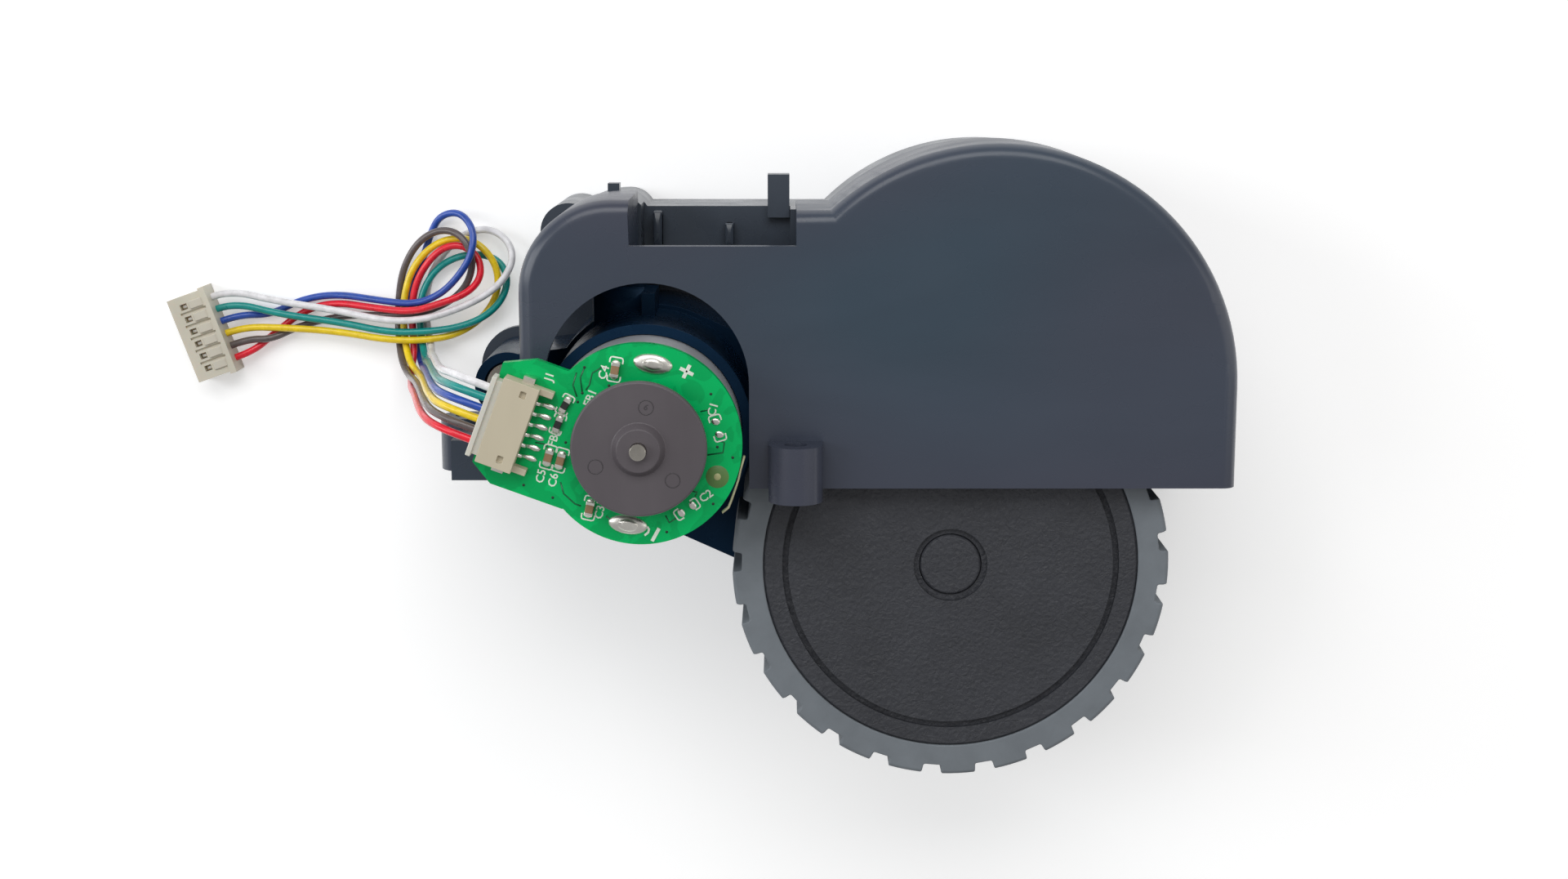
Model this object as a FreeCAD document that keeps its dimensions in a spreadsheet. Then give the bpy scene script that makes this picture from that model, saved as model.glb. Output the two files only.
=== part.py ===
import FreeCAD, Part
import math
import os
import Sketcher

# Robot vacuum wheel module, millimetres.
# The module lies on its back. Z = 0 is the flat back of the inner frame, +Z is up
# towards the printed board, +Y is the side that sits up inside the robot, and +X
# runs from the suspension pivot to the drive wheel. The origin is the pivot axis
# on the back plane.

doc = FreeCAD.newDocument("wheel_module")
sheet = doc.addObject("Spreadsheet::Sheet", "Sizes")
V = FreeCAD.Vector
X_AXIS, Y_AXIS, Z_AXIS = V(1, 0, 0), V(0, 1, 0), V(0, 0, 1)
TOP, RIGHT = "XY_Plane", "YZ_Plane"


# Sizes: each is one cell of the sheet and a number that this script can use.
class Size:
    """A length or angle: its number, and the sheet formula that gives it."""

    def __init__(self, number, formula):
        self.number = number
        self.formula = formula

    def __add__(self, other):
        return joined(self, "+", other, self.number + number(other))

    def __sub__(self, other):
        return joined(self, "-", other, self.number - number(other))

    def __mul__(self, other):
        return joined(self, "*", other, self.number * number(other))

    def __truediv__(self, other):
        return joined(self, "/", other, self.number / number(other))

    def __radd__(self, other):
        return joined(other, "+", self, number(other) + self.number)

    def __rsub__(self, other):
        return joined(other, "-", self, number(other) - self.number)

    def __rmul__(self, other):
        return joined(other, "*", self, number(other) * self.number)

    def __neg__(self):
        return joined(0.0, "-", self, -self.number)


def number(value):
    return value.number if isinstance(value, Size) else float(value)


def formula(value):
    return value.formula if isinstance(value, Size) else "%.6f" % value


def joined(left, sign, right, result):
    return Size(result, "(%s %s %s)" % (formula(left), sign, formula(right)))


def root(value):
    return Size(math.sqrt(number(value)), "sqrt(%s)" % formula(value))


def arc_cosine(value):
    """The angle in degrees whose cosine is value, as a plain number."""
    angle = math.degrees(math.acos(number(value)))
    return Size(angle, "(acos(%s) / 1 deg)" % formula(value))


def tangent(angle):
    return Size(math.tan(math.radians(number(angle))), "tan(%s)" % formula(angle))


def cosine(angle):
    return Size(math.cos(math.radians(number(angle))), "cos(%s)" % formula(angle))


def sine(angle):
    return Size(math.sin(math.radians(number(angle))), "sin(%s)" % formula(angle))


rows = []


def size(name, value):
    """Writes one driving dimension into the sheet and returns it."""
    rows.append(name)
    cell = "B%d" % len(rows)
    sheet.set("A%d" % len(rows), name)
    sheet.set(cell, str(value))
    sheet.setAlias(cell, name)
    return Size(float(value), "Sizes." + name)


# Heights of the layers, from the back plane up.
frame_plate = size("frame_plate_thickness", 1.8)
arm_gap = size("gap_frame_to_arm", 0.4)
cover_thickness = size("gear_cover_thickness", 2.0)
case_top = size("gear_case_top_height", 21.0)
case_front_wall = size("gear_case_front_wall", 2.0)
sleeve_top = size("motor_sleeve_top_height", 40.0)
split_height = size("housing_split_height", 22.0)
face_top = size("face_top_height", 43.0)
face_thickness = size("face_thickness", 2.0)
wall = size("housing_wall", 1.6)
case_wall = size("gear_case_wall", 1.7)
running_gap = size("running_gap", 0.05)
fit_gap = size("fit_gap", 0.1)

# The face of the housing, seen from the front.
left_x = size("face_left_x", 4.2)
right_x = size("face_right_x", 103.2)
bottom_y = size("face_bottom_y", -11.1)
shoulder_radius = size("shoulder_radius", 12.8)
shoulder_y = size("shoulder_top_y", 28.6)
flat_y = size("flat_top_y", 27.2)
arch_radius = size("arch_radius", 33.4)
arch_y = size("arch_centre_y", 2.8)
notch_left = size("notch_left_x", 19.5)
notch_right = size("notch_right_x", 42.3)
notch_y = size("notch_bottom_y", 22.4)
cavity_y = size("shelf_bottom_y", 19.8)
cheek_y = size("notch_cheek_bottom_y", 20.6)
window_x = size("window_centre_x", 21.7)
window_y = size("window_centre_y", 3.3)
window_radius = size("window_radius", 14.1)
edge_round = size("face_edge_round", 2.0)
seat_step = size("frame_seat_step", 0.8)

# Screw bosses that fasten the module to the robot.
boss_radius = size("mount_boss_radius", 3.7)
boss_bore = size("mount_boss_bore_radius", 1.55)
front_boss_x = size("front_boss_x", 42.2)
front_boss_z = size("front_boss_height", 46.0)
front_boss_low = size("front_boss_low_y", -12.2)
boss_length = size("mount_boss_length", 7.8)
left_boss_x = size("left_boss_x", -6.4)
left_boss_z = size("left_boss_height", 20.0)
left_boss_low = size("left_boss_low_y", -12.4)
bracket_left = size("bracket_left_x", -4.6)
bracket_low = size("bracket_low_y", -11.3)
bracket_high = size("bracket_high_y", -5.6)
bracket_back = size("bracket_back_height", 22.2)
bracket_front = size("bracket_front_height", 36.0)
ear_x = size("ear_post_x", 9.4)
ear_y = size("ear_post_y", 22.7)
ear_radius = size("ear_post_radius", 4.1)
second_post_x = size("second_post_x", 45.6)
second_post_y = size("second_post_y", 22.6)
post_radius = size("second_post_radius", 3.0)

# Suspension pivot.
barrel_radius = size("barrel_radius", 4.9)
barrel_wall = size("barrel_wall", 0.8)
barrel_web = size("barrel_web_thickness", 3.5)
barrel_recess = size("barrel_recess_depth", 2.0)
pin_radius = size("pivot_pin_radius", 2.0)
pin_head = size("pivot_head_radius", 3.2)
pin_head_height = size("pivot_head_height", 1.3)
lobe_radius = size("pivot_lobe_radius", 6.4)
ring_height = size("pivot_ring_height", 1.8)
spring_wire = size("spring_wire", 0.8)
spring_radius = size("spring_mean_radius", 3.1)
spring_turns = size("spring_turns", 5)

# Drive: motor axis, and the straight line of gears to the wheel.
motor_x = size("motor_x", 21.3)
motor_y = size("motor_y", -3.5)
train_angle = size("train_angle", -24.4)
module_1 = size("first_gear_module", 0.5)
module_2 = size("second_gear_module", 0.6)
module_3 = size("third_gear_module", 0.7)
pinion_teeth = 12
gear_1_teeth = 44
gear_2_teeth = 42
output_teeth = 36
tooth_thinning = size("tooth_thinning", 0.16)
axle_radius = size("gear_axle_radius", 1.0)

# Motor.
can_radius = size("motor_can_radius", 12.2)
can_length = size("motor_can_length", 27.6)
can_wall = size("motor_can_wall", 0.9)
ring_radius = size("flux_ring_radius", 13.4)
ring_low = size("flux_ring_low_height", 25.0)
sleeve_radius = size("motor_sleeve_radius", 14.9)
motor_shaft_radius = size("motor_shaft_radius", 1.1)
board_thickness = size("board_thickness", 1.6)
board_radius = size("board_radius", 13.7)
board_gap = size("board_to_can_gap", 0.8)
disc_radius = size("encoder_disc_radius", 9.1)
disc_low = size("encoder_disc_low_height", 53.4)
disc_thickness = size("encoder_disc_thickness", 1.5)

# Wheel.
wheel_back = size("wheel_back_height", 22.5)
wheel_width = size("wheel_width", 16.4)
hub_radius = size("hub_radius", 26.5)
tyre_radius = size("tyre_radius", 30.8)
tread_depth = size("tread_depth", 1.35)
lug_count = 25
output_radius = size("output_shaft_radius", 3.0)
cap_radius = size("hub_cap_radius", 4.3)


# Placing helpers.
def bind(obj, **links):
    """Ties properties of obj to sheet formulas; x, y and z are its base point."""
    for key, value in links.items():
        path = "Placement.Base." + key if key in ("x", "y", "z") else key
        obj.setExpression(path, formula(value))
    return obj


def cylinder(name, x, y, z, radius, height, axis=None):
    """A cylinder from (x, y, z) along +Z, or along +Y when axis is "y"."""
    obj = doc.addObject("Part::Cylinder", name)
    if axis == "y":
        obj.Placement.Rotation = FreeCAD.Rotation(X_AXIS, -90)
    return bind(obj, x=x, y=y, z=z, Radius=radius, Height=height)


def cone(name, x, y, z, low, high, height):
    obj = doc.addObject("Part::Cone", name)
    return bind(obj, x=x, y=y, z=z, Radius1=low, Radius2=high, Height=height)


def box(name, x, y, z, length, width, height):
    """A box whose lowest corner is (x, y, z)."""
    obj = doc.addObject("Part::Box", name)
    return bind(obj, x=x, y=y, z=z, Length=length, Width=width, Height=height)


def turned_box(name, x, y, z, length, width, height, angle):
    """A box centred on (x, y), standing on z, turned by angle about Z."""
    block = doc.addObject("Part::Box", name)
    bind(block, Length=length, Width=width, Height=height)
    ca, sa = cosine(angle), sine(angle)
    block.setExpression("Placement.Rotation.Angle", formula(angle))
    block.setExpression("Placement.Rotation.Axis.z", "1")
    half_l, half_w = length * 0.5, width * 0.5
    return bind(
        block, x=x - half_l * ca + half_w * sa, y=y - half_l * sa - half_w * ca, z=z
    )


def fuse(name, *pieces):
    obj = doc.addObject("Part::MultiFuse", name)
    obj.Shapes = list(pieces)
    obj.Refine = True
    return obj


def cut(name, base, *tools):
    obj = doc.addObject("Part::Cut", name)
    obj.Base = base
    obj.Tool = tools[0] if len(tools) == 1 else fuse(name + "_tools", *tools)
    obj.Refine = True
    return obj


# Sketch helpers.
def body(name):
    return doc.addObject("PartDesign::Body", name)


def plane_of(part, role):
    return next(f for f in part.Origin.OriginFeatures if f.Role == role)


def sketch(part, name, height=0.0, plane=TOP):
    """An empty sketch on a plane of the body, raised by height."""
    obj = part.newObject("Sketcher::SketchObject", name)
    obj.AttachmentSupport = (plane_of(part, plane), [""])
    obj.MapMode = "FlatFace"
    obj.setExpression("AttachmentOffset.Base.z", formula(height))
    return obj


def pin_point(obj, edge, end, x, y):
    """Ties one sketch point to its two coordinates."""
    for kind, value in (("DistanceX", x), ("DistanceY", y)):
        rule = Sketcher.Constraint(kind, -1, 1, edge, end, number(value))
        index = obj.addConstraint(rule)
        obj.setExpression("Constraints[%d]" % index, formula(value))


def ring(obj, x, y, radius):
    """A full circle tied to its centre and radius."""
    circle = Part.Circle(V(number(x), number(y), 0), Z_AXIS, number(radius))
    edge = obj.addGeometry(circle, False)
    pin_point(obj, edge, 3, x, y)
    index = obj.addConstraint(Sketcher.Constraint("Radius", edge, number(radius)))
    obj.setExpression("Constraints[%d]" % index, formula(radius))


def arc_between(start, end, radius, way):
    """The short arc from start to end; way +1 turns left, -1 turns right."""
    ax, ay = number(start[0]), number(start[1])
    bx, by = number(end[0]), number(end[1])
    half = math.hypot(bx - ax, by - ay) / 2
    rise = math.sqrt(max(number(radius) ** 2 - half ** 2, 0.0))
    ux, uy = (bx - ax) / (2 * half), (by - ay) / (2 * half)
    cx = (ax + bx) / 2 - way * uy * rise
    cy = (ay + by) / 2 + way * ux * rise
    first = math.atan2(ay - cy, ax - cx)
    last = math.atan2(by - cy, bx - cx)
    if way < 0:
        first, last = last, first
    circle = Part.Circle(V(cx, cy, 0), Z_AXIS, number(radius))
    return Part.ArcOfCircle(circle, first, last)


def outline(obj, corners):
    """A closed loop. A corner is (x, y), or (x, y, radius, way) when an arc
    leads to it from the corner before."""
    count = len(corners)
    edges = []
    for i, corner in enumerate(corners):
        before = corners[i - 1]
        if len(corner) == 4:
            curve = arc_between(before, corner, corner[2], corner[3])
            ends = (1, 2) if corner[3] > 0 else (2, 1)
        else:
            start = V(number(before[0]), number(before[1]), 0)
            curve = Part.LineSegment(start, V(number(corner[0]), number(corner[1]), 0))
            ends = (1, 2)
        edges.append((obj.addGeometry(curve, False), ends))
    for i, (edge, ends) in enumerate(edges):
        later, later_ends = edges[(i + 1) % count]
        obj.addConstraint(
            Sketcher.Constraint("Coincident", edge, ends[1], later, later_ends[0])
        )
        pin_point(obj, edge, ends[1], corners[i][0], corners[i][1])
        if len(corners[i]) == 4:
            rule = Sketcher.Constraint("Radius", edge, number(corners[i][2]))
            index = obj.addConstraint(rule)
            obj.setExpression("Constraints[%d]" % index, formula(corners[i][2]))


def pad(part, drawing, height, name="Pad"):
    obj = part.newObject("PartDesign::Pad", name)
    obj.Profile = drawing
    obj.setExpression("Length", formula(height))
    part.Tip = obj
    return obj


def pocket(part, drawing, depth, name="Pocket"):
    """Cuts upwards from the sketch by depth."""
    obj = part.newObject("PartDesign::Pocket", name)
    obj.Profile = drawing
    obj.Reversed = True
    obj.setExpression("Length", formula(depth))
    part.Tip = obj
    return obj


def pad_rings(part, name, low, high, *rings):
    """Pads circles (x, y, radius) from one height to another."""
    drawing = sketch(part, name, low)
    for x, y, radius in rings:
        ring(drawing, x, y, radius)
    return pad(part, drawing, high - low, name + "_pad")


def bore_rings(part, name, low, high, *rings):
    drawing = sketch(part, name, low)
    for x, y, radius in rings:
        ring(drawing, x, y, radius)
    return pocket(part, drawing, high - low, name + "_bore")


def pad_loop(part, name, low, high, corners):
    drawing = sketch(part, name, low)
    outline(drawing, corners)
    return pad(part, drawing, high - low, name + "_pad")


def cut_loop(part, name, low, high, corners):
    drawing = sketch(part, name, low)
    outline(drawing, corners)
    return pocket(part, drawing, high - low, name + "_cut")


def rectangle(left, low, right, high):
    return [(left, low), (right, low), (right, high), (left, high)]


nodes = []


def keep(obj, label):
    """Names a finished sub-part and puts it on the list that is written."""
    obj.Label = label
    nodes.append(obj)
    return obj


# Derived places.
arm_back = frame_plate + arm_gap
case_floor = arm_back + cover_thickness
case_ceiling = case_top - case_front_wall
face_back = face_top - face_thickness
train_cos, train_sin = cosine(train_angle), sine(train_angle)
reach_1 = module_1 * ((pinion_teeth + gear_1_teeth) / 2.0)
reach_2 = module_2 * ((pinion_teeth + gear_2_teeth) / 2.0)
reach_3 = module_3 * ((pinion_teeth + output_teeth) / 2.0)
train_length = reach_1 + reach_2 + reach_3
gear_half_width = module_3 * (output_teeth / 2.0 + 1.5)
case_radius = gear_half_width + case_wall + fit_gap * 2.0


def along(distance, side=0.0):
    """A point on the gear line: distance from the motor, side to its left."""
    return (
        motor_x + distance * train_cos - side * train_sin,
        motor_y + distance * train_sin + side * train_cos,
    )


gear_1_x, gear_1_y = along(reach_1)
gear_2_x, gear_2_y = along(reach_1 + reach_2)
wheel_x, wheel_y = along(train_length)


# Outer housing: a deep tub over the wheel, open at the back and at the bottom.
def housing_loop(inset, low_y):
    """The housing's outline, moved in by inset, with its lower edge at low_y."""
    left, right = left_x + inset, right_x - inset
    round_left = shoulder_radius - inset
    round_right = arch_radius - inset
    flat = flat_y - inset
    arch_x = right_x - arch_radius
    meet = arch_x - root(round_right * round_right - (flat - arch_y) * (flat - arch_y))
    top = shoulder_y - inset
    shoulder_x = left_x + shoulder_radius
    return [
        (left, low_y),
        (right, low_y),
        (right, arch_y),
        (arch_x, arch_y + round_right, round_right, 1),
        (meet, flat, round_right, 1),
        (notch_right, flat),
        (notch_left, top),
        (shoulder_x, top),
        (left, top - round_left, round_left, 1),
    ]


def edges_at(shape, height, keep_edge):
    """Names of the edges lying at one height whose middle passes keep_edge."""
    names = []
    for i, edge in enumerate(shape.Edges):
        box_of = edge.BoundBox
        if abs(box_of.ZMin - height) < 1e-6 and abs(box_of.ZMax - height) < 1e-6:
            middle = edge.valueAt((edge.FirstParameter + edge.LastParameter) / 2)
            if keep_edge(middle):
                names.append("Edge%d" % (i + 1))
    return names


def round_edges(part, name, height, radius, keep_edge):
    """Rounds the chosen edges at one height."""
    doc.recompute()
    base = part.Tip
    obj = part.newObject("PartDesign::Fillet", name)
    obj.Base = (base, edges_at(base.Shape, number(height), keep_edge))
    obj.setExpression("Radius", formula(radius))
    part.Tip = obj
    return obj


def build_outer_housing():
    part = body("outer_housing_body")
    pad_loop(part, "shell", split_height, face_top, housing_loop(0.0, bottom_y))
    low = number(bottom_y)
    round_edges(part, "face_edge", face_top, edge_round, lambda p: p.y > low + 0.1)
    bracket = rectangle(bracket_left, bracket_low, left_x + wall, bracket_high)
    pad_loop(part, "bracket", bracket_back, bracket_front, bracket)
    web_right = left_boss_x + boss_radius * 1.4
    web = rectangle(left_boss_x, bracket_low, web_right, bracket_high)
    pad_loop(part, "boss_web", left_boss_z - boss_radius * 0.9, bracket_front, web)
    inside = housing_loop(wall, bottom_y - wall)
    cut_loop(part, "cavity", split_height, face_back, inside)
    cheek = rectangle(notch_left - wall, cheek_y, notch_left, shoulder_y - wall)
    pad_loop(part, "left_cheek", split_height, face_back, cheek)
    cheek = rectangle(notch_right, cheek_y, notch_right + wall, flat_y - wall)
    pad_loop(part, "right_cheek", split_height, face_back, cheek)
    notch = rectangle(notch_left, notch_y, notch_right, shoulder_y + wall)
    cut_loop(part, "notch", split_height, face_top, notch)
    crown = (window_x, window_y + window_radius, window_radius, 1)
    window = [
        (window_x - window_radius, bottom_y - wall),
        (window_x + window_radius, bottom_y - wall),
        (window_x + window_radius, window_y),
        crown,
        (window_x - window_radius, window_y, window_radius, 1),
    ]
    cut_loop(part, "window", face_back, face_top, window)
    posts = ((ear_x, ear_y, ear_radius * 0.56), (second_post_x, second_post_y, 2.6))
    pad_rings(part, "screw_posts", split_height, face_back, *posts)
    bores = [(x, y, screw_pilot) for x, y, _ in posts]
    bore_rings(part, "screw_pilots", split_height, face_back - 4.0, *bores)

    block = box(
        "front_boss_block",
        front_boss_x - boss_radius,
        front_boss_low,
        face_top - 0.5,
        boss_radius * 2.0,
        boss_length,
        front_boss_z - face_top + 0.5,
    )
    place = (front_boss_x, front_boss_low, front_boss_z)
    front = cylinder("front_boss", *place, boss_radius, boss_length, "y")
    front_hole = cylinder("front_boss_hole", *place, boss_bore, boss_length, "y")
    place = (left_boss_x, left_boss_low, left_boss_z)
    left = cylinder("left_boss", *place, boss_radius, boss_length, "y")
    left_hole = cylinder("left_boss_hole", *place, boss_bore, boss_length, "y")
    whole = fuse("housing_with_bosses", part, block, front, left)
    return cut("outer_housing_solid", whole, front_hole, left_hole)


# Inner frame: the flat back, its rim, the pivot lobe and the top posts.
frame_top = size("frame_top_y", 25.9)
frame_round = size("frame_shoulder_round", 4.0)
shelf_height = size("frame_shelf_height", 15.0)
side_open_y = size("frame_side_opening_y", 14.0)
thin_post_left = size("thin_post_left_x", 14.7)
thin_post_width = size("thin_post_width", 1.7)
thin_post_top = size("thin_post_top_y", 29.3)
wide_post_left = size("wide_post_left_x", 38.2)
wide_post_width = size("wide_post_width", 3.2)
wide_post_top = size("wide_post_top_y", 30.6)
post_depth = size("top_post_depth", 3.0)
screw_pilot = size("housing_screw_pilot", 1.1)
screw_head = size("housing_screw_head_radius", 2.5)
screw_sink = size("housing_screw_sink_depth", 10.0)
screw_shank = size("housing_screw_shank_radius", 1.0)
screw_length = size("housing_screw_length", 20.0)


def frame_loop(inset, low_y):
    """The frame's outline, one step inside the housing's, moved in by inset."""
    left, right = left_x + seat_step + inset, right_x - seat_step - inset
    arch = arch_radius - seat_step - inset
    flat = frame_top - inset
    arch_x = right_x - arch_radius
    meet = arch_x - root(arch * arch - (flat - arch_y) * (flat - arch_y))
    top = shoulder_y - seat_step - inset
    small = frame_round - inset
    shoulder_x = left_x + shoulder_radius
    drop = flat - (top - small)
    end = shoulder_x + root(small * small - drop * drop)
    shoulder = shoulder_radius - seat_step - inset
    return [
        (left, low_y),
        (right, low_y),
        (right, arch_y),
        (arch_x, arch_y + arch, arch, 1),
        (meet, flat, arch, 1),
        (end, flat),
        (shoulder_x, top, small, 1),
        (left, top - shoulder, shoulder, 1),
    ]


def build_inner_frame():
    part = body("inner_frame")
    pad_loop(part, "plate", 0.0, frame_plate, frame_loop(0.0, bottom_y))
    pad_rings(part, "lobe", 0.0, frame_plate, (0.0, 0.0, lobe_radius))
    tongue_right = left_x + seat_step + wall
    tongue = rectangle(0.0, 0.0 - lobe_radius, tongue_right, lobe_radius)
    pad_loop(part, "tongue", 0.0, frame_plate, tongue)
    pad_loop(part, "rim", frame_plate, split_height, frame_loop(0.0, bottom_y))
    inside = frame_loop(wall, bottom_y - wall)
    cut_loop(part, "inside", frame_plate, split_height, inside)
    side = rectangle(left_x, bottom_y - wall, left_x + seat_step + wall * 1.5, side_open_y)
    cut_loop(part, "side_opening", frame_plate, split_height, side)
    cheek_left = notch_left + seat_step * 0.5
    mouth = rectangle(cheek_left, cavity_y, notch_right - seat_step, frame_top + wall)
    cut_loop(part, "mouth", shelf_height, split_height, mouth)
    shelf = rectangle(cheek_left, cavity_y, notch_right + wall, frame_top - wall * 0.5)
    pad_loop(part, "shelf", shelf_height - wall, shelf_height, shelf)
    cheek = rectangle(cheek_left - wall, cheek_y, cheek_left, frame_top - wall * 0.5)
    pad_loop(part, "left_wing", frame_plate, split_height, cheek)
    right_cheek = notch_right - seat_step
    cheek = rectangle(right_cheek, cheek_y, right_cheek + wall, frame_top - wall * 0.5)
    pad_loop(part, "right_wing", frame_plate, split_height, cheek)
    low_rib = rectangle(notch_left + 1.9, cavity_y, notch_left + 3.2, frame_top - 1.2)
    pad_loop(part, "tall_rib", shelf_height, shelf_height + 2.0, low_rib)
    high_rib = rectangle(notch_left + 12.4, cavity_y, notch_left + 13.7, frame_top - 2.4)
    pad_loop(part, "short_rib", shelf_height, shelf_height + 1.3, high_rib)
    post_back = shelf_height - post_depth * 0.5
    thin_right = thin_post_left + thin_post_width
    thin = rectangle(thin_post_left, frame_top, thin_right, thin_post_top)
    pad_loop(part, "thin_post", post_back, post_back + post_depth, thin)
    wide_right = wide_post_left + wide_post_width
    wide = rectangle(wide_post_left, frame_top - wall, wide_right, wide_post_top)
    pad_loop(part, "wide_post", post_back - 1.0, post_back + post_depth, wide)
    ear = (ear_x, ear_y, ear_radius)
    second = (second_post_x, second_post_y, post_radius)
    pad_rings(part, "screw_columns", 0.0, split_height, ear, second)
    sinks = [(x, y, screw_head + fit_gap) for x, y, _ in (ear, second)]
    bore_rings(part, "screw_sinks", 0.0, screw_sink, *sinks)
    ways = [(x, y, screw_shank + fit_gap) for x, y, _ in (ear, second)]
    bore_rings(part, "screw_ways", screw_sink, split_height, *ways)
    ring_top = frame_plate + ring_height
    ring_radius_out = barrel_radius - barrel_wall - 0.15
    pad_rings(part, "pivot_ring", frame_plate, ring_top, (0.0, 0.0, ring_radius_out))
    bore_rings(part, "pivot_seat", 0.6, ring_top, (0.0, 0.0, pin_radius))
    leg = (spring_radius, 0.0, spring_wire * 0.5 + fit_gap)
    bore_rings(part, "spring_leg_hole", frame_plate, ring_top, leg)
    return part


def build_housing_screws():
    """Two pan-head screws driven up from the back into the outer housing."""
    screws = []
    for i, (x, y) in enumerate(((ear_x, ear_y), (second_post_x, second_post_y))):
        head_low = screw_sink - 2.0
        head = cylinder("screw_head_%d" % i, x, y, head_low, screw_head, 2.0)
        shank = cylinder("screw_shank_%d" % i, x, y, screw_sink - 0.5, screw_shank, screw_length)
        screws.append(fuse("housing_screw_%d" % i, head, shank))
    return fuse("housing_screw_set", *screws)


def build_pivot_pin():
    shank = cylinder("pin_shank", 0.0, 0.0, 0.6, pin_radius, pin_head_low)
    head = cylinder("pin_head", 0.0, 0.0, pin_head_low, pin_head, pin_head_height)
    slot = box("pin_slot", 0.0 - pin_head, -0.4, pin_head_low + 0.7, pin_head * 2.0, 0.8, 1.0)
    return cut("pivot_pin_solid", fuse("pin_blank", shank, head), slot)


def build_suspension_spring():
    """A helix of round wire; its leg drops into the frame, its tail lies in the arm."""
    wire, radius = number(spring_wire), number(spring_radius)
    low = number(spring_low)
    rise = number(barrel_web_low) - 0.9 - low
    helix = Part.makeHelix(rise / number(spring_turns), rise, radius)
    section = Part.Wire(Part.makeCircle(wire / 2, V(radius, 0, 0), Y_AXIS))
    coil = Part.Wire(helix).makePipeShell([section], True, True)
    coil.translate(V(0, 0, low))
    leg_low = number(frame_plate)
    leg = Part.makeCylinder(wire / 2, low - leg_low, V(radius, 0, leg_low), Z_AXIS)
    ball = Part.makeSphere(wire / 2, V(radius, 0, low))
    reach = number(barrel_radius) - 0.15 - radius
    tail = Part.makeCylinder(wire / 2, reach, V(radius, 0, low + rise), X_AXIS)
    top_ball = Part.makeSphere(wire / 2, V(radius, 0, low + rise))
    obj = doc.addObject("Part::Feature", "suspension_spring_solid")
    obj.Shape = coil.fuse([leg, ball, tail, top_ball]).removeSplitter()
    return obj


pin_head_low = case_top - barrel_recess + fit_gap
barrel_web_low = case_top - barrel_recess - barrel_web
spring_low = frame_plate + ring_height + spring_wire

keep(build_outer_housing(), "outer_housing")
keep(build_inner_frame(), "inner_frame")
keep(build_housing_screws(), "housing_screws")
keep(build_pivot_pin(), "pivot_pin")
keep(build_suspension_spring(), "suspension_spring")

# Gear case: front shell with barrel and motor sleeve, and rear cover.
link_half = size("arm_link_half_width", 11.0)
rib_width = size("sleeve_rib_width", 1.9)
rib_top_y = size("sleeve_rib_top_y", 14.6)
rib_height = size("sleeve_rib_top_height", 30.0)
case_screw_radius = size("case_screw_radius", 1.0)
case_boss_radius = size("case_boss_radius", 2.5)
bushing_radius = size("output_bushing_radius", 5.0)
nose_radius = size("motor_nose_radius", 3.0)
motor_screw_radius = size("motor_screw_radius", 1.2)
motor_screw_reach = size("motor_screw_reach", 8.0)


def motor_screw_places():
    """Two screws, either side of the motor's nose and square to the gear line."""
    side_x = 0.0 - motor_screw_reach * train_sin
    side_y = motor_screw_reach * train_cos
    return [
        (motor_x + side_x, motor_y + side_y),
        (motor_x - side_x, motor_y - side_y),
    ]


def stadium(radius):
    """A slot outline of one radius around the motor and wheel axes."""
    length = train_length
    return [
        along(0.0, 0.0 - radius),
        along(length, 0.0 - radius),
        along(length + radius) + (radius, 1),
        along(length, radius) + (radius, 1),
        along(0.0, radius),
        along(0.0 - radius) + (radius, 1),
    ]


def stadium_loop(radius):
    corners = stadium(radius)
    corners[0] = corners[0] + (radius, 1)
    return corners


def link_loop(inset):
    """The plate between the pivot barrel and the motor, moved in by inset."""
    arm = root(motor_x * motor_x + motor_y * motor_y)
    side_x, side_y = (0.0 - motor_y) / arm, motor_x / arm
    near, far = barrel_radius * 0.94 - inset, link_half - inset
    return [
        (0.0 - side_x * near, 0.0 - side_y * near),
        (motor_x - side_x * far, motor_y - side_y * far),
        (motor_x + side_x * far, motor_y + side_y * far),
        (side_x * near, side_y * near),
    ]


def case_screw_places():
    """Four screws round the gear case: above the motor, and along both sides."""
    reach = case_radius + fit_gap * 2.0
    return [
        (motor_x + reach * cosine(100.0), motor_y + reach * sine(100.0)),
        along(train_length * 0.77, reach),
        along(train_length * 0.56, 0.0 - reach),
        along(train_length + reach * 0.7, 0.0 - reach * 0.714),
    ]


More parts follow.
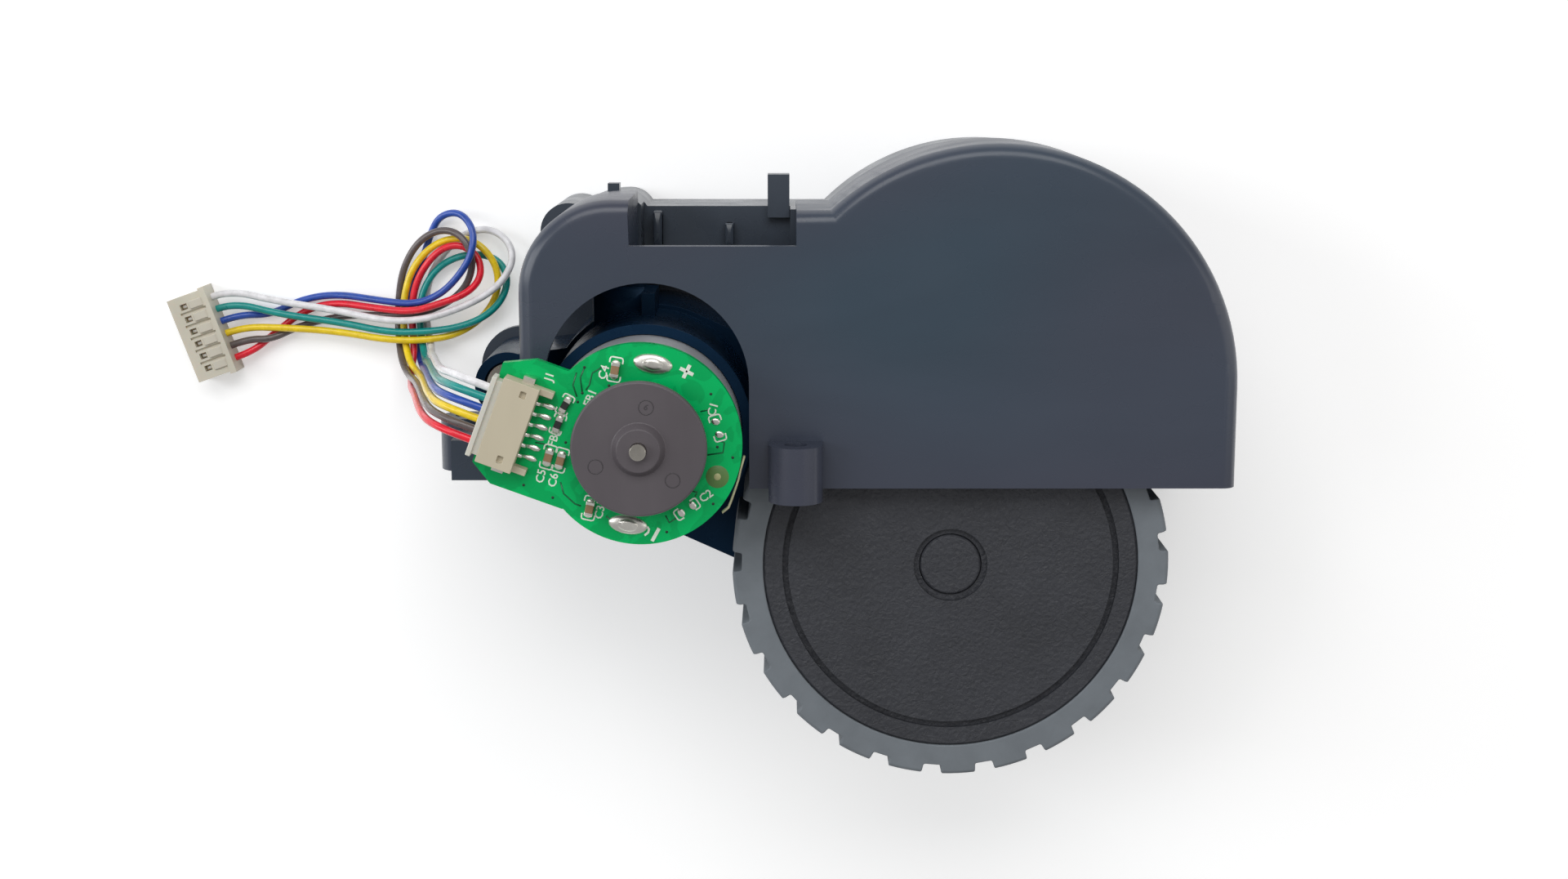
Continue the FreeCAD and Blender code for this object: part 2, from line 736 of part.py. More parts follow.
def build_gear_case_front():
    part = body("gear_case_front")
    pad_loop(part, "link", case_floor, case_top, link_loop(0.0))
    cut_loop(part, "link_core", case_floor, case_ceiling, link_loop(wall))
    pad_loop(part, "case", case_floor, case_top, stadium_loop(case_radius))
    pad_rings(part, "barrel", arm_back, case_top, (0.0, 0.0, barrel_radius))
    bosses = [(x, y, case_boss_radius) for x, y in case_screw_places()]
    pad_rings(part, "screw_bosses", case_floor, case_top, *bosses)
    cavity = stadium_loop(case_radius - case_wall)
    cut_loop(part, "gear_space", case_floor, case_ceiling, cavity)
    chamber = (0.0, 0.0, barrel_radius - barrel_wall)
    bore_rings(part, "spring_chamber", arm_back, barrel_web_low, chamber)
    bore = (0.0, 0.0, pin_radius + running_gap)
    bore_rings(part, "pivot_bore", barrel_web_low, case_top, bore)
    recess = (0.0, 0.0, pin_head + fit_gap * 3.0)
    bore_rings(part, "pivot_recess", case_top - barrel_recess, case_top, recess)
    slot_half = spring_wire * 0.5 + fit_gap
    tail_z = barrel_web_low - 0.9
    slot = rectangle(spring_radius, 0.0 - slot_half, barrel_radius + wall, slot_half)
    cut_loop(part, "spring_slot", tail_z - slot_half, barrel_web_low, slot)
    fin_low = motor_y + sleeve_radius - wall
    half_rib = rib_width * 0.5
    fin = rectangle(motor_x - half_rib, fin_low, motor_x + half_rib, rib_top_y)
    pad_loop(part, "sleeve_rib", case_top, rib_height, fin)
    foot = rectangle(motor_x - half_rib, motor_y + case_radius - 1.0, motor_x + half_rib, rib_top_y)
    pad_loop(part, "rib_foot", case_ceiling, case_top, foot)
    pad_rings(part, "sleeve", case_top, sleeve_top, (motor_x, motor_y, sleeve_radius))
    sleeve_bore = (motor_x, motor_y, ring_radius + fit_gap)
    bore_rings(part, "sleeve_bore", case_top, sleeve_top, sleeve_bore)
    nose = (motor_x, motor_y, nose_radius + fit_gap)
    bore_rings(part, "nose_hole", case_ceiling, case_top, nose)
    seat = (wheel_x, wheel_y, bushing_radius)
    pad_rings(part, "bushing_seat", case_top, wheel_back - 0.5, (wheel_x, wheel_y, 6.6))
    bore_rings(part, "bushing_hole", case_ceiling, wheel_back - 0.5, seat)
    pins = [(x, y, axle_radius) for x, y in ((gear_1_x, gear_1_y), (gear_2_x, gear_2_y))]
    bore_rings(part, "axle_seats", case_ceiling, case_top - 0.6, *pins)
    ways = [(x, y, motor_screw_radius + fit_gap) for x, y in motor_screw_places()]
    bore_rings(part, "motor_screw_ways", case_ceiling, case_top, *ways)
    pilots = [(x, y, case_screw_radius) for x, y in case_screw_places()]
    bore_rings(part, "screw_pilots", case_floor, case_top - 5.0, *pilots)
    return part


def build_gear_case_rear():
    part = body("gear_case_rear")
    pad_loop(part, "cover", arm_back, case_floor, stadium_loop(case_radius))
    bosses = [(x, y, case_boss_radius) for x, y in case_screw_places()]
    pad_rings(part, "screw_ears", arm_back, case_floor, *bosses)
    pins = [(x, y, axle_radius) for x, y in ((gear_1_x, gear_1_y), (gear_2_x, gear_2_y))]
    bore_rings(part, "axle_seats", arm_back + 0.5, case_floor, *pins)
    seat = (wheel_x, wheel_y, bushing_radius)
    bore_rings(part, "bushing_seat", arm_back + 0.4, case_floor, seat)
    ways = [(x, y, case_screw_radius + fit_gap) for x, y in case_screw_places()]
    bore_rings(part, "screw_ways", arm_back, case_floor, *ways)
    sinks = [(x, y, case_screw_radius * 1.7 + fit_gap) for x, y in case_screw_places()]
    bore_rings(part, "screw_sinks", arm_back, arm_back + 1.1, *sinks)
    return part


def build_case_screws():
    """Four flat-head screws set flush into the rear cover."""
    screws = []
    for i, (x, y) in enumerate(case_screw_places()):
        low = arm_back + 0.1
        head = cylinder("case_head_%d" % i, x, y, low, case_screw_radius * 1.7, 1.0)
        shank = cylinder("case_shank_%d" % i, x, y, low + 0.5, case_screw_radius, 11.0)
        screws.append(fuse("case_screw_%d" % i, head, shank))
    return fuse("case_screw_set", *screws)


def build_gear_axle(name, x, y):
    low = arm_back + 0.5
    return cylinder(name + "_solid", x, y, low, axle_radius, case_top - 0.6 - low)


def build_bushing(name, low, high):
    outside = cylinder(name + "_outside", wheel_x, wheel_y, low, bushing_radius, high - low)
    bore = output_radius + running_gap
    return cut(name, outside, cylinder(name + "_bore", wheel_x, wheel_y, low, bore, high - low))


keep(build_gear_case_front(), "gear_case_front")
keep(build_gear_case_rear(), "gear_case_rear")
keep(build_case_screws(), "case_screws")
keep(build_gear_axle("gear_axle_1", gear_1_x, gear_1_y), "gear_axle_1")
keep(build_gear_axle("gear_axle_2", gear_2_x, gear_2_y), "gear_axle_2")
keep(build_bushing("front_bushing", case_ceiling, wheel_back - 0.5), "output_bushing_front")
keep(build_bushing("rear_bushing", arm_back + 0.4, case_floor), "output_bushing_rear")


# Gears: involute teeth, three points to a flank, repeated round the blank.
pressure_angle = size("pressure_angle", 20.0)


def half_tooth(module, teeth, radius):
    """Half the angle of a tooth at a radius, in degrees, thinned for backlash."""
    pitch = module * (teeth / 2.0)
    base = pitch * cosine(pressure_angle)
    degrees = 180.0 / math.pi
    rolled = tangent(pressure_angle) * degrees - pressure_angle
    spare = tooth_thinning / pitch * (degrees / 2.0)
    if number(radius) > number(base):
        angle = arc_cosine(base / radius)
        rolled = rolled - (tangent(angle) * degrees - angle)
    return 90.0 / teeth + rolled - spare


def tooth_ring(part, name, low, high, module, teeth):
    """A toothed ring centred on the body's own Z axis."""
    pitch = module * (teeth / 2.0)
    root_radius = pitch - module * 1.2
    tip = pitch + module * 0.95
    pad_rings(part, name + "_blank", low, high, (0.0, 0.0, root_radius))
    right, left = [], []
    for radius in (root_radius - module * 0.3, pitch, tip):
        half = half_tooth(module, teeth, radius)
        x, y = radius * cosine(half), radius * sine(half)
        right.append((x, 0.0 - y))
        left.insert(0, (x, y))
    drawing = sketch(part, name + "_tooth", low)
    outline(drawing, right + left)
    tooth = pad(part, drawing, high - low, name + "_tooth_pad")
    pattern = part.newObject("PartDesign::PolarPattern", name + "_teeth")
    pattern.Originals = [tooth]
    pattern.Axis = (drawing, ["N_Axis"])
    pattern.Angle = 360
    pattern.Occurrences = teeth
    pattern.Refine = False
    part.Tip = pattern


def place_body(part, x, y, angle):
    """Moves a body built on its own axis to its place and turns it."""
    bind(part, x=x, y=y)
    part.setExpression("Placement.Rotation.Angle", formula(angle))


def mesh_angle(angle, teeth, partner_teeth):
    """How far the partner turns so that its gap meets the tooth of this gear.
    Both angles are measured from +X; the partner lies along train_angle."""
    shift = (train_angle - angle) * (teeth / 360.0)
    turn = (shift + 0.5) * (360.0 / partner_teeth)
    return train_angle + 180.0 + turn


gear_low = case_floor + 0.4
output_high = gear_low + 4.6
output_hub_rise = size("output_gear_hub_rise", 0.3)
gear_2_low = output_high + 0.6
gear_2_high = gear_2_low + 3.0
gear_1_low = gear_2_high + 0.7
gear_1_high = gear_1_low + 3.0
gear_1_angle = mesh_angle(train_angle * 0.0, pinion_teeth, gear_1_teeth)
gear_2_angle = mesh_angle(gear_1_angle, pinion_teeth, gear_2_teeth)
output_angle = mesh_angle(gear_2_angle, pinion_teeth, output_teeth)
hub_stop = case_ceiling - 0.3


def build_motor_pinion():
    part = body("motor_pinion")
    tooth_ring(part, "pinion", gear_1_low - 0.3, gear_1_high + 1.0, module_1, pinion_teeth)
    bore_rings(part, "shaft_hole", gear_1_low - 0.3, gear_1_high + 1.0, (0.0, 0.0, motor_shaft_radius))
    place_body(part, motor_x, motor_y, train_angle * 0.0)
    return part


def build_gear_1():
    part = body("reduction_gear_1")
    tooth_ring(part, "large", gear_1_low, gear_1_high, module_1, gear_1_teeth)
    tooth_ring(part, "small", gear_2_low - 0.3, gear_1_low, module_2, pinion_teeth)
    pad_rings(part, "hub", gear_low, hub_stop, (0.0, 0.0, axle_radius * 2.2))
    bore_rings(part, "bore", gear_low, hub_stop, (0.0, 0.0, axle_radius + running_gap))
    place_body(part, gear_1_x, gear_1_y, gear_1_angle)
    return part


def build_gear_2():
    part = body("reduction_gear_2")
    tooth_ring(part, "large", gear_2_low, gear_2_high, module_2, gear_2_teeth)
    tooth_ring(part, "small", gear_low, gear_2_low, module_3, pinion_teeth)
    pad_rings(part, "hub", gear_low, hub_stop, (0.0, 0.0, axle_radius * 2.2))
    bore_rings(part, "bore", gear_low, hub_stop, (0.0, 0.0, axle_radius + running_gap))
    place_body(part, gear_2_x, gear_2_y, gear_2_angle)
    return part


def build_output_gear():
    part = body("output_gear")
    tooth_ring(part, "output", gear_low, output_high, module_3, output_teeth)
    hub_high = output_high + output_hub_rise
    pad_rings(part, "hub", gear_low, hub_high, (0.0, 0.0, output_radius * 1.6))
    bore_rings(part, "bore", gear_low, hub_high, (0.0, 0.0, output_radius))
    place_body(part, wheel_x, wheel_y, output_angle)
    return part


keep(build_motor_pinion(), "motor_pinion")
keep(build_gear_1(), "reduction_gear_1")
keep(build_gear_2(), "reduction_gear_2")
keep(build_output_gear(), "output_gear")

# Wheel: hub, tyre, cap, screw and output shaft.
wheel_front = wheel_back + wheel_width
hub_disc = size("hub_disc_thickness", 3.8)
rim_thickness = size("hub_rim_thickness", 1.1)
tyre_key_depth = size("tyre_key_depth", 1.9)
tyre_flange = size("hub_flange_width", 2.0)
groove_outer = size("hub_groove_outer_radius", 23.75)
groove_inner = size("hub_groove_inner_radius", 22.9)
groove_depth = size("hub_groove_depth", 0.7)
centre_ring = size("hub_centre_ring_radius", 5.2)
wheel_screw_radius = size("wheel_screw_radius", 1.5)
wheel_screw_head = size("wheel_screw_head_radius", 2.8)
hub_boss = size("hub_boss_radius", 6.4)
shaft_top = wheel_front - 5.4


def revolve(part, name, profile):
    """Turns a profile of (radius, height) corners round the body's Z axis."""
    drawing = part.newObject("Sketcher::SketchObject", name)
    drawing.AttachmentSupport = (plane_of(part, "XZ_Plane"), [""])
    drawing.MapMode = "FlatFace"
    outline(drawing, profile)
    obj = part.newObject("PartDesign::Revolution", name + "_turned")
    obj.Profile = drawing
    obj.ReferenceAxis = (drawing, ["V_Axis"])
    obj.Angle = 360
    part.Tip = obj
    return obj


def pattern_of(part, drawing, feature, count, name):
    pattern = part.newObject("PartDesign::PolarPattern", name)
    pattern.Originals = [feature]
    pattern.Axis = (drawing, ["N_Axis"])
    pattern.Angle = 360
    pattern.Occurrences = count
    part.Tip = pattern


def build_wheel_hub():
    part = body("wheel_hub")
    bed = hub_radius - tyre_key_depth
    under = wheel_front - hub_disc
    edge = hub_radius - fit_gap
    chamfer = fit_gap * 3.0
    bore = output_radius
    floor = wheel_front - groove_depth
    cap_seat = wheel_front - 2.3
    head_seat = wheel_front - 4.4
    profile = [
        (bore, wheel_back + 0.5),
        (hub_boss, wheel_back + 0.5),
        (hub_boss, under),
        (bed - rim_thickness, under),
        (bed - rim_thickness, wheel_back),
        (edge, wheel_back),
        (edge, wheel_back + tyre_flange),
        (bed, wheel_back + tyre_flange),
        (bed, wheel_front - tyre_flange),
        (edge, wheel_front - tyre_flange),
        (edge, wheel_front - chamfer),
        (edge - chamfer, wheel_front),
        (groove_outer, wheel_front),
        (groove_outer, floor),
        (groove_inner, floor),
        (groove_inner, wheel_front),
        (centre_ring, wheel_front),
        (centre_ring, floor),
        (cap_radius + fit_gap, floor),
        (cap_radius + fit_gap, cap_seat),
        (wheel_screw_head + fit_gap, cap_seat),
        (wheel_screw_head + fit_gap, head_seat),
        (wheel_screw_radius + fit_gap, head_seat),
        (wheel_screw_radius + fit_gap, shaft_top + fit_gap),
        (bore, shaft_top + fit_gap),
    ]
    revolve(part, "hub_section", profile)
    half = 0.7
    drawing = sketch(part, "spoke", wheel_back + 2.0)
    outline(drawing, rectangle(hub_boss - 0.3, -half, bed - rim_thickness + 0.3, half))
    spoke = pad(part, drawing, under - wheel_back - 1.7, "spoke_pad")
    pattern_of(part, drawing, spoke, 6, "spokes")
    place_body(part, wheel_x, wheel_y, train_angle)
    return part


def build_tyre():
    part = body("tyre")
    seat = hub_radius - fit_gap * 0.5
    key = seat - tyre_key_depth + fit_gap
    inner = tyre_flange + fit_gap
    soft = fit_gap * 4.0
    profile = [
        (seat, wheel_back),
        (tyre_radius - soft, wheel_back),
        (tyre_radius, wheel_back + soft),
        (tyre_radius, wheel_front - soft),
        (tyre_radius - soft, wheel_front),
        (seat, wheel_front),
        (seat, wheel_front - inner),
        (key, wheel_front - inner),
        (key, wheel_back + inner),
        (seat, wheel_back + inner),
    ]
    revolve(part, "tyre_section", profile)
    pitch = 360.0 / lug_count
    low, high = tyre_radius - tread_depth, tyre_radius + 1.0
    narrow, broad = pitch * 0.165, pitch * 0.2
    corners = [
        (low * cosine(narrow), 0.0 - low * sine(narrow)),
        (high * cosine(broad), 0.0 - high * sine(broad)),
        (high * cosine(broad), high * sine(broad)),
        (low * cosine(narrow), low * sine(narrow)),
    ]
    drawing = sketch(part, "tread_gap", wheel_back)
    outline(drawing, corners)
    gap = pocket(part, drawing, wheel_width, "tread_gap_cut")
    pattern_of(part, drawing, gap, lug_count, "tread")
    place_body(part, wheel_x, wheel_y, size("tread_angle", -8.0))
    return part


def build_hub_cap():
    part = body("hub_cap")
    low, high = wheel_front - 2.2, wheel_front - 0.15
    soft = fit_gap * 3.0
    profile = [
        (0.0, low),
        (cap_radius, low),
        (cap_radius, high - soft),
        (cap_radius - soft, high),
        (0.0, high),
    ]
    revolve(part, "cap_section", profile)
    place_body(part, wheel_x, wheel_y, train_angle)
    return part


def build_wheel_screw():
    seat = wheel_front - 4.4
    head = cylinder("wheel_screw_head", wheel_x, wheel_y, seat, wheel_screw_head, 1.8)
    low = seat - 9.0
    shank = cylinder("wheel_screw_shank", wheel_x, wheel_y, low, wheel_screw_radius, 9.5)
    return fuse("wheel_screw_solid", head, shank)


def build_output_shaft():
    low = arm_back + 0.6
    bar = cylinder("output_bar", wheel_x, wheel_y, low, output_radius, shaft_top - low)
    hole_low = wheel_front - 14.0
    hole = cylinder(
        "output_hole", wheel_x, wheel_y, hole_low, wheel_screw_radius, shaft_top - hole_low
    )
    return cut("output_shaft_solid", bar, hole)


keep(build_wheel_hub(), "wheel_hub")
keep(build_tyre(), "tyre")
keep(build_hub_cap(), "hub_cap")
keep(build_wheel_screw(), "wheel_screw")
keep(build_output_shaft(), "output_shaft")

# Motor: can, flux ring, magnets, armature, end cap and terminals.
can_top = case_top + can_length
board_low = can_top + board_gap
board_top = board_low + board_thickness
terminal_reach = size("terminal_reach", 11.1)
terminal_angle = size("terminal_angle", 80.5)


def motor_ring(name, low, high, outer, inner):
    """A tube round the motor axis."""
    outside = cylinder(name + "_outside", motor_x, motor_y, low, outer, high - low)
    inside = cylinder(name + "_inside", motor_x, motor_y, low, inner, high - low)
    return cut(name, outside, inside)


def build_motor_can():
    part = body("motor_can")
    axis = (motor_x, motor_y)
    pad_rings(part, "can", case_top, can_top, axis + (can_radius,))
    pad_rings(part, "nose", case_ceiling + 0.4, case_top, axis + (nose_radius,))
    bore_rings(part, "inside", case_top + 1.2, can_top, axis + (can_radius - can_wall,))
    bore = motor_shaft_radius + running_gap
    bore_rings(part, "shaft_bore", case_ceiling + 0.4, case_top + 1.2, axis + (bore,))
    threads = [(x, y, motor_screw_radius) for x, y in motor_screw_places()]
    bore_rings(part, "screw_threads", case_top, case_top + 1.2, *threads)
    return part


def build_motor_screws():
    """Two screws through the front of the gear case into the motor."""
    screws = []
    for i, (x, y) in enumerate(motor_screw_places()):
        low = case_ceiling - 1.3
        head = cylinder("motor_head_%d" % i, x, y, low, motor_screw_radius * 1.7, 1.3)
        shank = cylinder("motor_shank_%d" % i, x, y, low + 0.5, motor_screw_radius, 4.0)
        screws.append(fuse("motor_screw_%d" % i, head, shank))
    return fuse("motor_screw_set", *screws)


def build_motor_magnets():
    """Two curved magnets, held against the can with gaps between them."""
    outer = can_radius - can_wall - fit_gap * 0.5
    shell = motor_ring("magnet_shell", case_top + 3.0, can_top - 5.0, outer, outer - 1.4)
    height = can_top - case_top - 8.0
    gap = box(
        "magnet_gap",
        motor_x - 3.0,
        motor_y - can_radius,
        case_top + 3.0,
        6.0,
        can_radius * 2.0,
        height,
    )
    return cut("magnet_pair", shell, gap)


def build_armature():
    core = cylinder("armature_core", motor_x, motor_y, case_top + 5.0, 9.0, 14.0)
    drum = cylinder("commutator", motor_x, motor_y, case_top + 19.0, 3.1, 4.0)
    hole = cylinder("armature_hole", motor_x, motor_y, case_top, motor_shaft_radius, 30.0)
    return cut("armature_solid", fuse("armature_blank", core, drum), hole)


def build_motor_shaft():
    low = gear_1_low - 0.3
    return cylinder("motor_shaft_solid", motor_x, motor_y, low, motor_shaft_radius, shaft_tip - low)


def build_end_cap():
    part = body("motor_end_cap")
    bore = motor_shaft_radius + running_gap
    low = can_top - 2.0
    profile = [
        (bore, low),
        (can_radius - can_wall - running_gap, low),
        (can_radius - can_wall - running_gap, can_top),
        (can_radius - 0.2, can_top),
        (can_radius - 0.2, board_low),
        (bore, board_low),
    ]
    revolve(part, "end_cap_section", profile)
    bind(part, x=motor_x, y=motor_y)
    return part


def terminal_place(turn):
    angle = terminal_angle + turn
    return (
        motor_x + terminal_reach * cosine(angle),
        motor_y + terminal_reach * sine(angle),
        angle - 90.0,
    )


def build_terminals():
    """Two flat tabs that stand up from the end cap through the board."""
    tabs = []
    for i, turn in enumerate((0.0, 180.0)):
        x, y, angle = terminal_place(turn)
        tabs.append(
            turned_box("terminal_%d" % i, x, y, board_low, 2.6, 0.5, 2.4, angle)
        )
    return fuse("terminal_pair", *tabs)


def build_terminal_solder():
    """A low oval mound of solder round each tab."""
    mounds = []
    for i, turn in enumerate((0.0, 180.0)):
        x, y, angle = terminal_place(turn)
        left = x - 1.0 * cosine(angle), y - 1.0 * sine(angle)
        right = x + 1.0 * cosine(angle), y + 1.0 * sine(angle)
        ends = [
            cone("solder_%d_%d" % (i, k), px, py, board_top, 1.5, 0.9, 0.7)
            for k, (px, py) in enumerate((left, right))
        ]
        bar = turned_box("solder_bar_%d" % i, x, y, board_top, 2.0, 2.0, 0.7, angle)
        tab = turned_box("solder_tab_%d" % i, x, y, board_top, 2.6, 0.5, 0.7, angle)
        mound = fuse("solder_mound_%d" % i, *ends, bar)
        mounds.append(cut("solder_%d" % i, mound, tab))
    return fuse("solder_pair", *mounds)


# Printed board and the parts on it.
shaft_tip = size("motor_shaft_tip_height", 57.2)
board_hole = size("board_centre_hole_radius", 3.9)
header_x = size("header_x", 3.9)
header_y = size("header_y", -0.36)
header_angle = size("header_angle", 69.5)
header_length = size("header_length", 12.0)
header_width = size("header_width", 5.0)
header_height = size("header_height", 3.6)
header_floor = size("header_floor", 0.4)
plug_length = size("plug_length", 10.5)
plug_depth = size("plug_depth", 3.4)
plug_show = size("plug_part_outside_header", 1.5)
plug_height = size("plug_height", 2.6)
pin_pitch = size("header_pitch", 1.5)
wire_radius = size("wire_radius", 0.55)
wire_count = 6


def by_header(across, lengthwise):
    """A point near the header: across from its middle to the pin side, then
    lengthwise towards its upper end."""
    ca, sa = cosine(header_angle), sine(header_angle)
    return (
        header_x + across * sa + lengthwise * ca,
        header_y - across * ca + lengthwise * sa,
    )


def build_encoder_board():
    part = body("encoder_board")
    axis = (motor_x, motor_y)
    tab = [
        (-1.3, -5.8),
        (1.0, -8.8),
        (10.6, -12.3),
        (20.0, -12.0),
        (20.0, 6.0),
        (11.7, 6.5),
        (7.6, 8.0),
        (3.1, 7.6),
    ]
    pad_loop(part, "tab", board_low, board_top, tab)
    pad_rings(part, "disc", board_low, board_top, axis + (board_radius,))
    bore_rings(part, "centre", board_low, board_top, axis + (board_hole,))
    for i, turn in enumerate((0.0, 180.0)):
        x, y, angle = terminal_place(turn)
        bore_rings(part, "terminal_hole_%d" % i, board_low, board_top, (x, y, 1.36))
    return part


def header_block(name, across, lengthwise, z, length, width, height):
    """A block turned with the header, its centre given along the header's axes."""
    x, y = by_header(across, lengthwise)
    return turned_box(name, x, y, z, length, width, height, header_angle)


plug_back = header_width * 0.5 + plug_show
plug_middle = plug_depth * 0.5 - plug_back
plug_low = board_top + header_floor + fit_gap
wire_z = plug_low + plug_height * 0.5


def build_header():
    """Side-entry shell with an open mouth, two roof windows and two rear ears."""
    shell = header_block(
        "header_shell", 0.0, 0.0, board_top, header_length, header_width, header_height
    )
    ears = []
    for i, way in enumerate((-1.0, 1.0)):
        place = way * (header_length * 0.5 - 0.45)
        ears.append(
            header_block("header_ear_%d" % i, header_width * 0.5 + 0.9, place, board_top, 0.9, 1.9, 1.9)
        )
    room_depth = plug_depth - plug_show + fit_gap * 2.0
    room_middle = room_depth * 0.5 - header_width * 0.5 - fit_gap
    room = header_block(
        "header_room",
        room_middle,
        0.0,
        board_top + header_floor,
        plug_length + fit_gap * 2.0,
        room_depth,
        plug_height + fit_gap * 2.0,
    )
    windows = [
        header_block("header_window_%d" % i, 0.6, place, plug_low + plug_height, 0.9, 0.8, 2.0)
        for i, place in enumerate((-4.6, 4.6))
    ]
    whole = fuse("header_blank", shell, *ears)
    return cut("header_solid", whole, room, *windows)


def build_header_tabs():
    """Two soldered metal tabs that hold the ends of the header."""
    tabs = []
    for i, way in enumerate((-1.0, 1.0)):
        place = way * (header_length * 0.5 + 0.4)
        tabs.append(header_block("header_tab_%d" % i, 0.6, place, board_top, 0.8, 1.6, 1.4))
    return fuse("header_tab_pair", *tabs)


def build_plug():
    """The plug block that fills the header's mouth and stands out of it."""
    block = header_block(
        "plug_block", plug_middle, 0.0, plug_low, plug_length, plug_depth, plug_height
    )
    lip = header_block(
        "plug_lip", 0.35 - plug_back, 0.0, plug_low, plug_length + 0.8, 0.7, plug_height + 0.4
    )
    return fuse("plug_solid", block, lip)


def build_header_pins():
    """Six bent pins: each leaves the shell and lies on its pad."""
    pins = []
    for i in range(wire_count):
        offset = pin_pitch * (i - (wire_count - 1) / 2.0)
        x, y = by_header(header_width * 0.5 + 0.45, offset)
        rise = turned_box("pin_top_%d" % i, x, y, board_top + 0.6, 0.5, 0.9, 0.35, header_angle)
        x, y = by_header(header_width * 0.5 + 0.75, offset)
        knee = turned_box("pin_knee_%d" % i, x, y, board_top, 0.5, 0.35, 0.95, header_angle)
        x, y = by_header(header_width * 0.5 + 1.4, offset)
        foot = turned_box("pin_foot_%d" % i, x, y, board_top, 0.5, 1.6, 0.25, header_angle)
        pins.append(fuse("pin_%d" % i, rise, knee, foot))
    return fuse("pin_row", *pins)


def chip_row(name, chips, length, width, height):
    """Small parts soldered flat on the board: (x, y, angle) for each."""
    blocks = []
    for i, (x, y, angle) in enumerate(chips):
        label = "%s_%d" % (name, i)
        blocks.append(turned_box(label, x, y, board_top, length, width, height, angle))
    return fuse(name, *blocks)


def build_encoder_disc():
    """Magnet disc with a collar, pressed on the upper end of the motor shaft."""
    part = body("encoder_disc")
    high = disc_low + disc_thickness
    profile = [
        (motor_shaft_radius, disc_low - 1.2),
        (2.6, disc_low - 1.2),
        (2.6, disc_low),
        (disc_radius - 0.2, disc_low),
        (disc_radius, disc_low + 0.2),
        (disc_radius, high - 0.2),
        (disc_radius - 0.2, high),
        (3.6, high),
        (2.9, high + 1.2),
        (motor_shaft_radius, high + 1.2),
    ]
    revolve(part, "disc_section", profile)
    bind(part, x=motor_x, y=motor_y)
    return part


keep(build_motor_can(), "motor_can")
ring_high = can_top - 0.3
keep(motor_ring("flux_ring", ring_low, ring_high, ring_radius, can_radius), "motor_flux_ring")
keep(build_motor_screws(), "motor_screws")
keep(build_motor_magnets(), "motor_magnets")
keep(build_armature(), "motor_armature")
keep(build_motor_shaft(), "motor_shaft")
keep(build_end_cap(), "motor_end_cap")
keep(build_terminals(), "brush_terminals")
keep(build_terminal_solder(), "terminal_solder")
keep(build_encoder_board(), "encoder_board")
keep(build_header(), "board_header")
keep(build_header_tabs(), "header_tabs")
keep(build_plug(), "wire_plug")
keep(build_header_pins(), "header_pins")
capacitor_places = [
    (18.1, 6.5, 80.0),
    (31.7, -1.1, 84.0),
    (27.3, -12.4, 40.0),
    (14.3, -12.3, 78.0),
    (8.6, -5.5, 72.0),
    (10.4, -5.7, 72.0),
]
keep(chip_row("capacitors", capacitor_places, 2.0, 1.1, 0.8), "capacitors")
ferrite_places = [(11.3, 1.9, 55.0), (10.2, -0.6, 68.0)]
keep(chip_row("ferrite_beads", ferrite_places, 2.0, 1.0, 0.7), "ferrite_beads")
sensor_places = [(26.8, -0.6, 30.0), (26.4, -7.0, -30.0)]
keep(chip_row("hall_sensors", sensor_places, 2.9, 1.5, 1.0), "hall_sensors")
keep(build_encoder_disc(), "encoder_disc")

# Far connector: a six-way housing on the table, with a contact in each socket.
far_x = size("far_connector_x", -49.0)
far_y = size("far_connector_y", 5.27)
far_angle = size("far_connector_angle", 109.5)
far_length = size("far_connector_length", 13.3)
far_depth = size("far_connector_depth", 6.2)
far_height = size("far_connector_height", 4.8)
far_pitch = size("far_connector_pitch", 2.0)


def by_far(across, lengthwise):
    """A point near the far connector: across towards the wires, then lengthwise."""
    ca, sa = cosine(far_angle), sine(far_angle)
    return far_x + across * sa + lengthwise * ca, far_y - across * ca + lengthwise * sa


def far_block(name, across, lengthwise, z, length, width, height):
    x, y = by_far(across, lengthwise)
    return turned_box(name, x, y, z, length, width, height, far_angle)


def far_places():
    return [far_pitch * (i - (wire_count - 1) / 2.0) for i in range(wire_count)]


def build_far_connector():
    block = far_block("far_block", 0.0, 0.0, 0.0, far_length, far_depth, far_height)
    lip = far_block(
        "far_lip", far_depth * 0.5 - 0.5, 0.0, 0.0, far_length + 0.7, 1.0, far_height + 0.3
    )
    tools = []
    for i, place in enumerate(far_places()):
        socket = far_block("far_socket_%d" % i, -1.1, place, 1.6, 1.3, 4.0, 1.7)
        window = far_block("far_window_%d" % i, -0.9, place, 2.6, 0.9, 1.1, 3.0)
        tools += [socket, window]
    for i, place in enumerate(far_places()[:-1]):
        rib = far_block("far_groove_%d" % i, 0.3, place + far_pitch * 0.5, far_height - 0.35, 0.35, 4.2, 1.0)
        tools.append(rib)
    return cut("far_solid", fuse("far_blank", block, lip), *tools)


def build_far_contacts():
    contacts = []
    for i, place in enumerate(far_places()):
        contacts.append(far_block("far_contact_%d" % i, -0.6, place, 1.6, 1.0, 3.0, 1.2))
    return fuse("far_contact_row", *contacts)


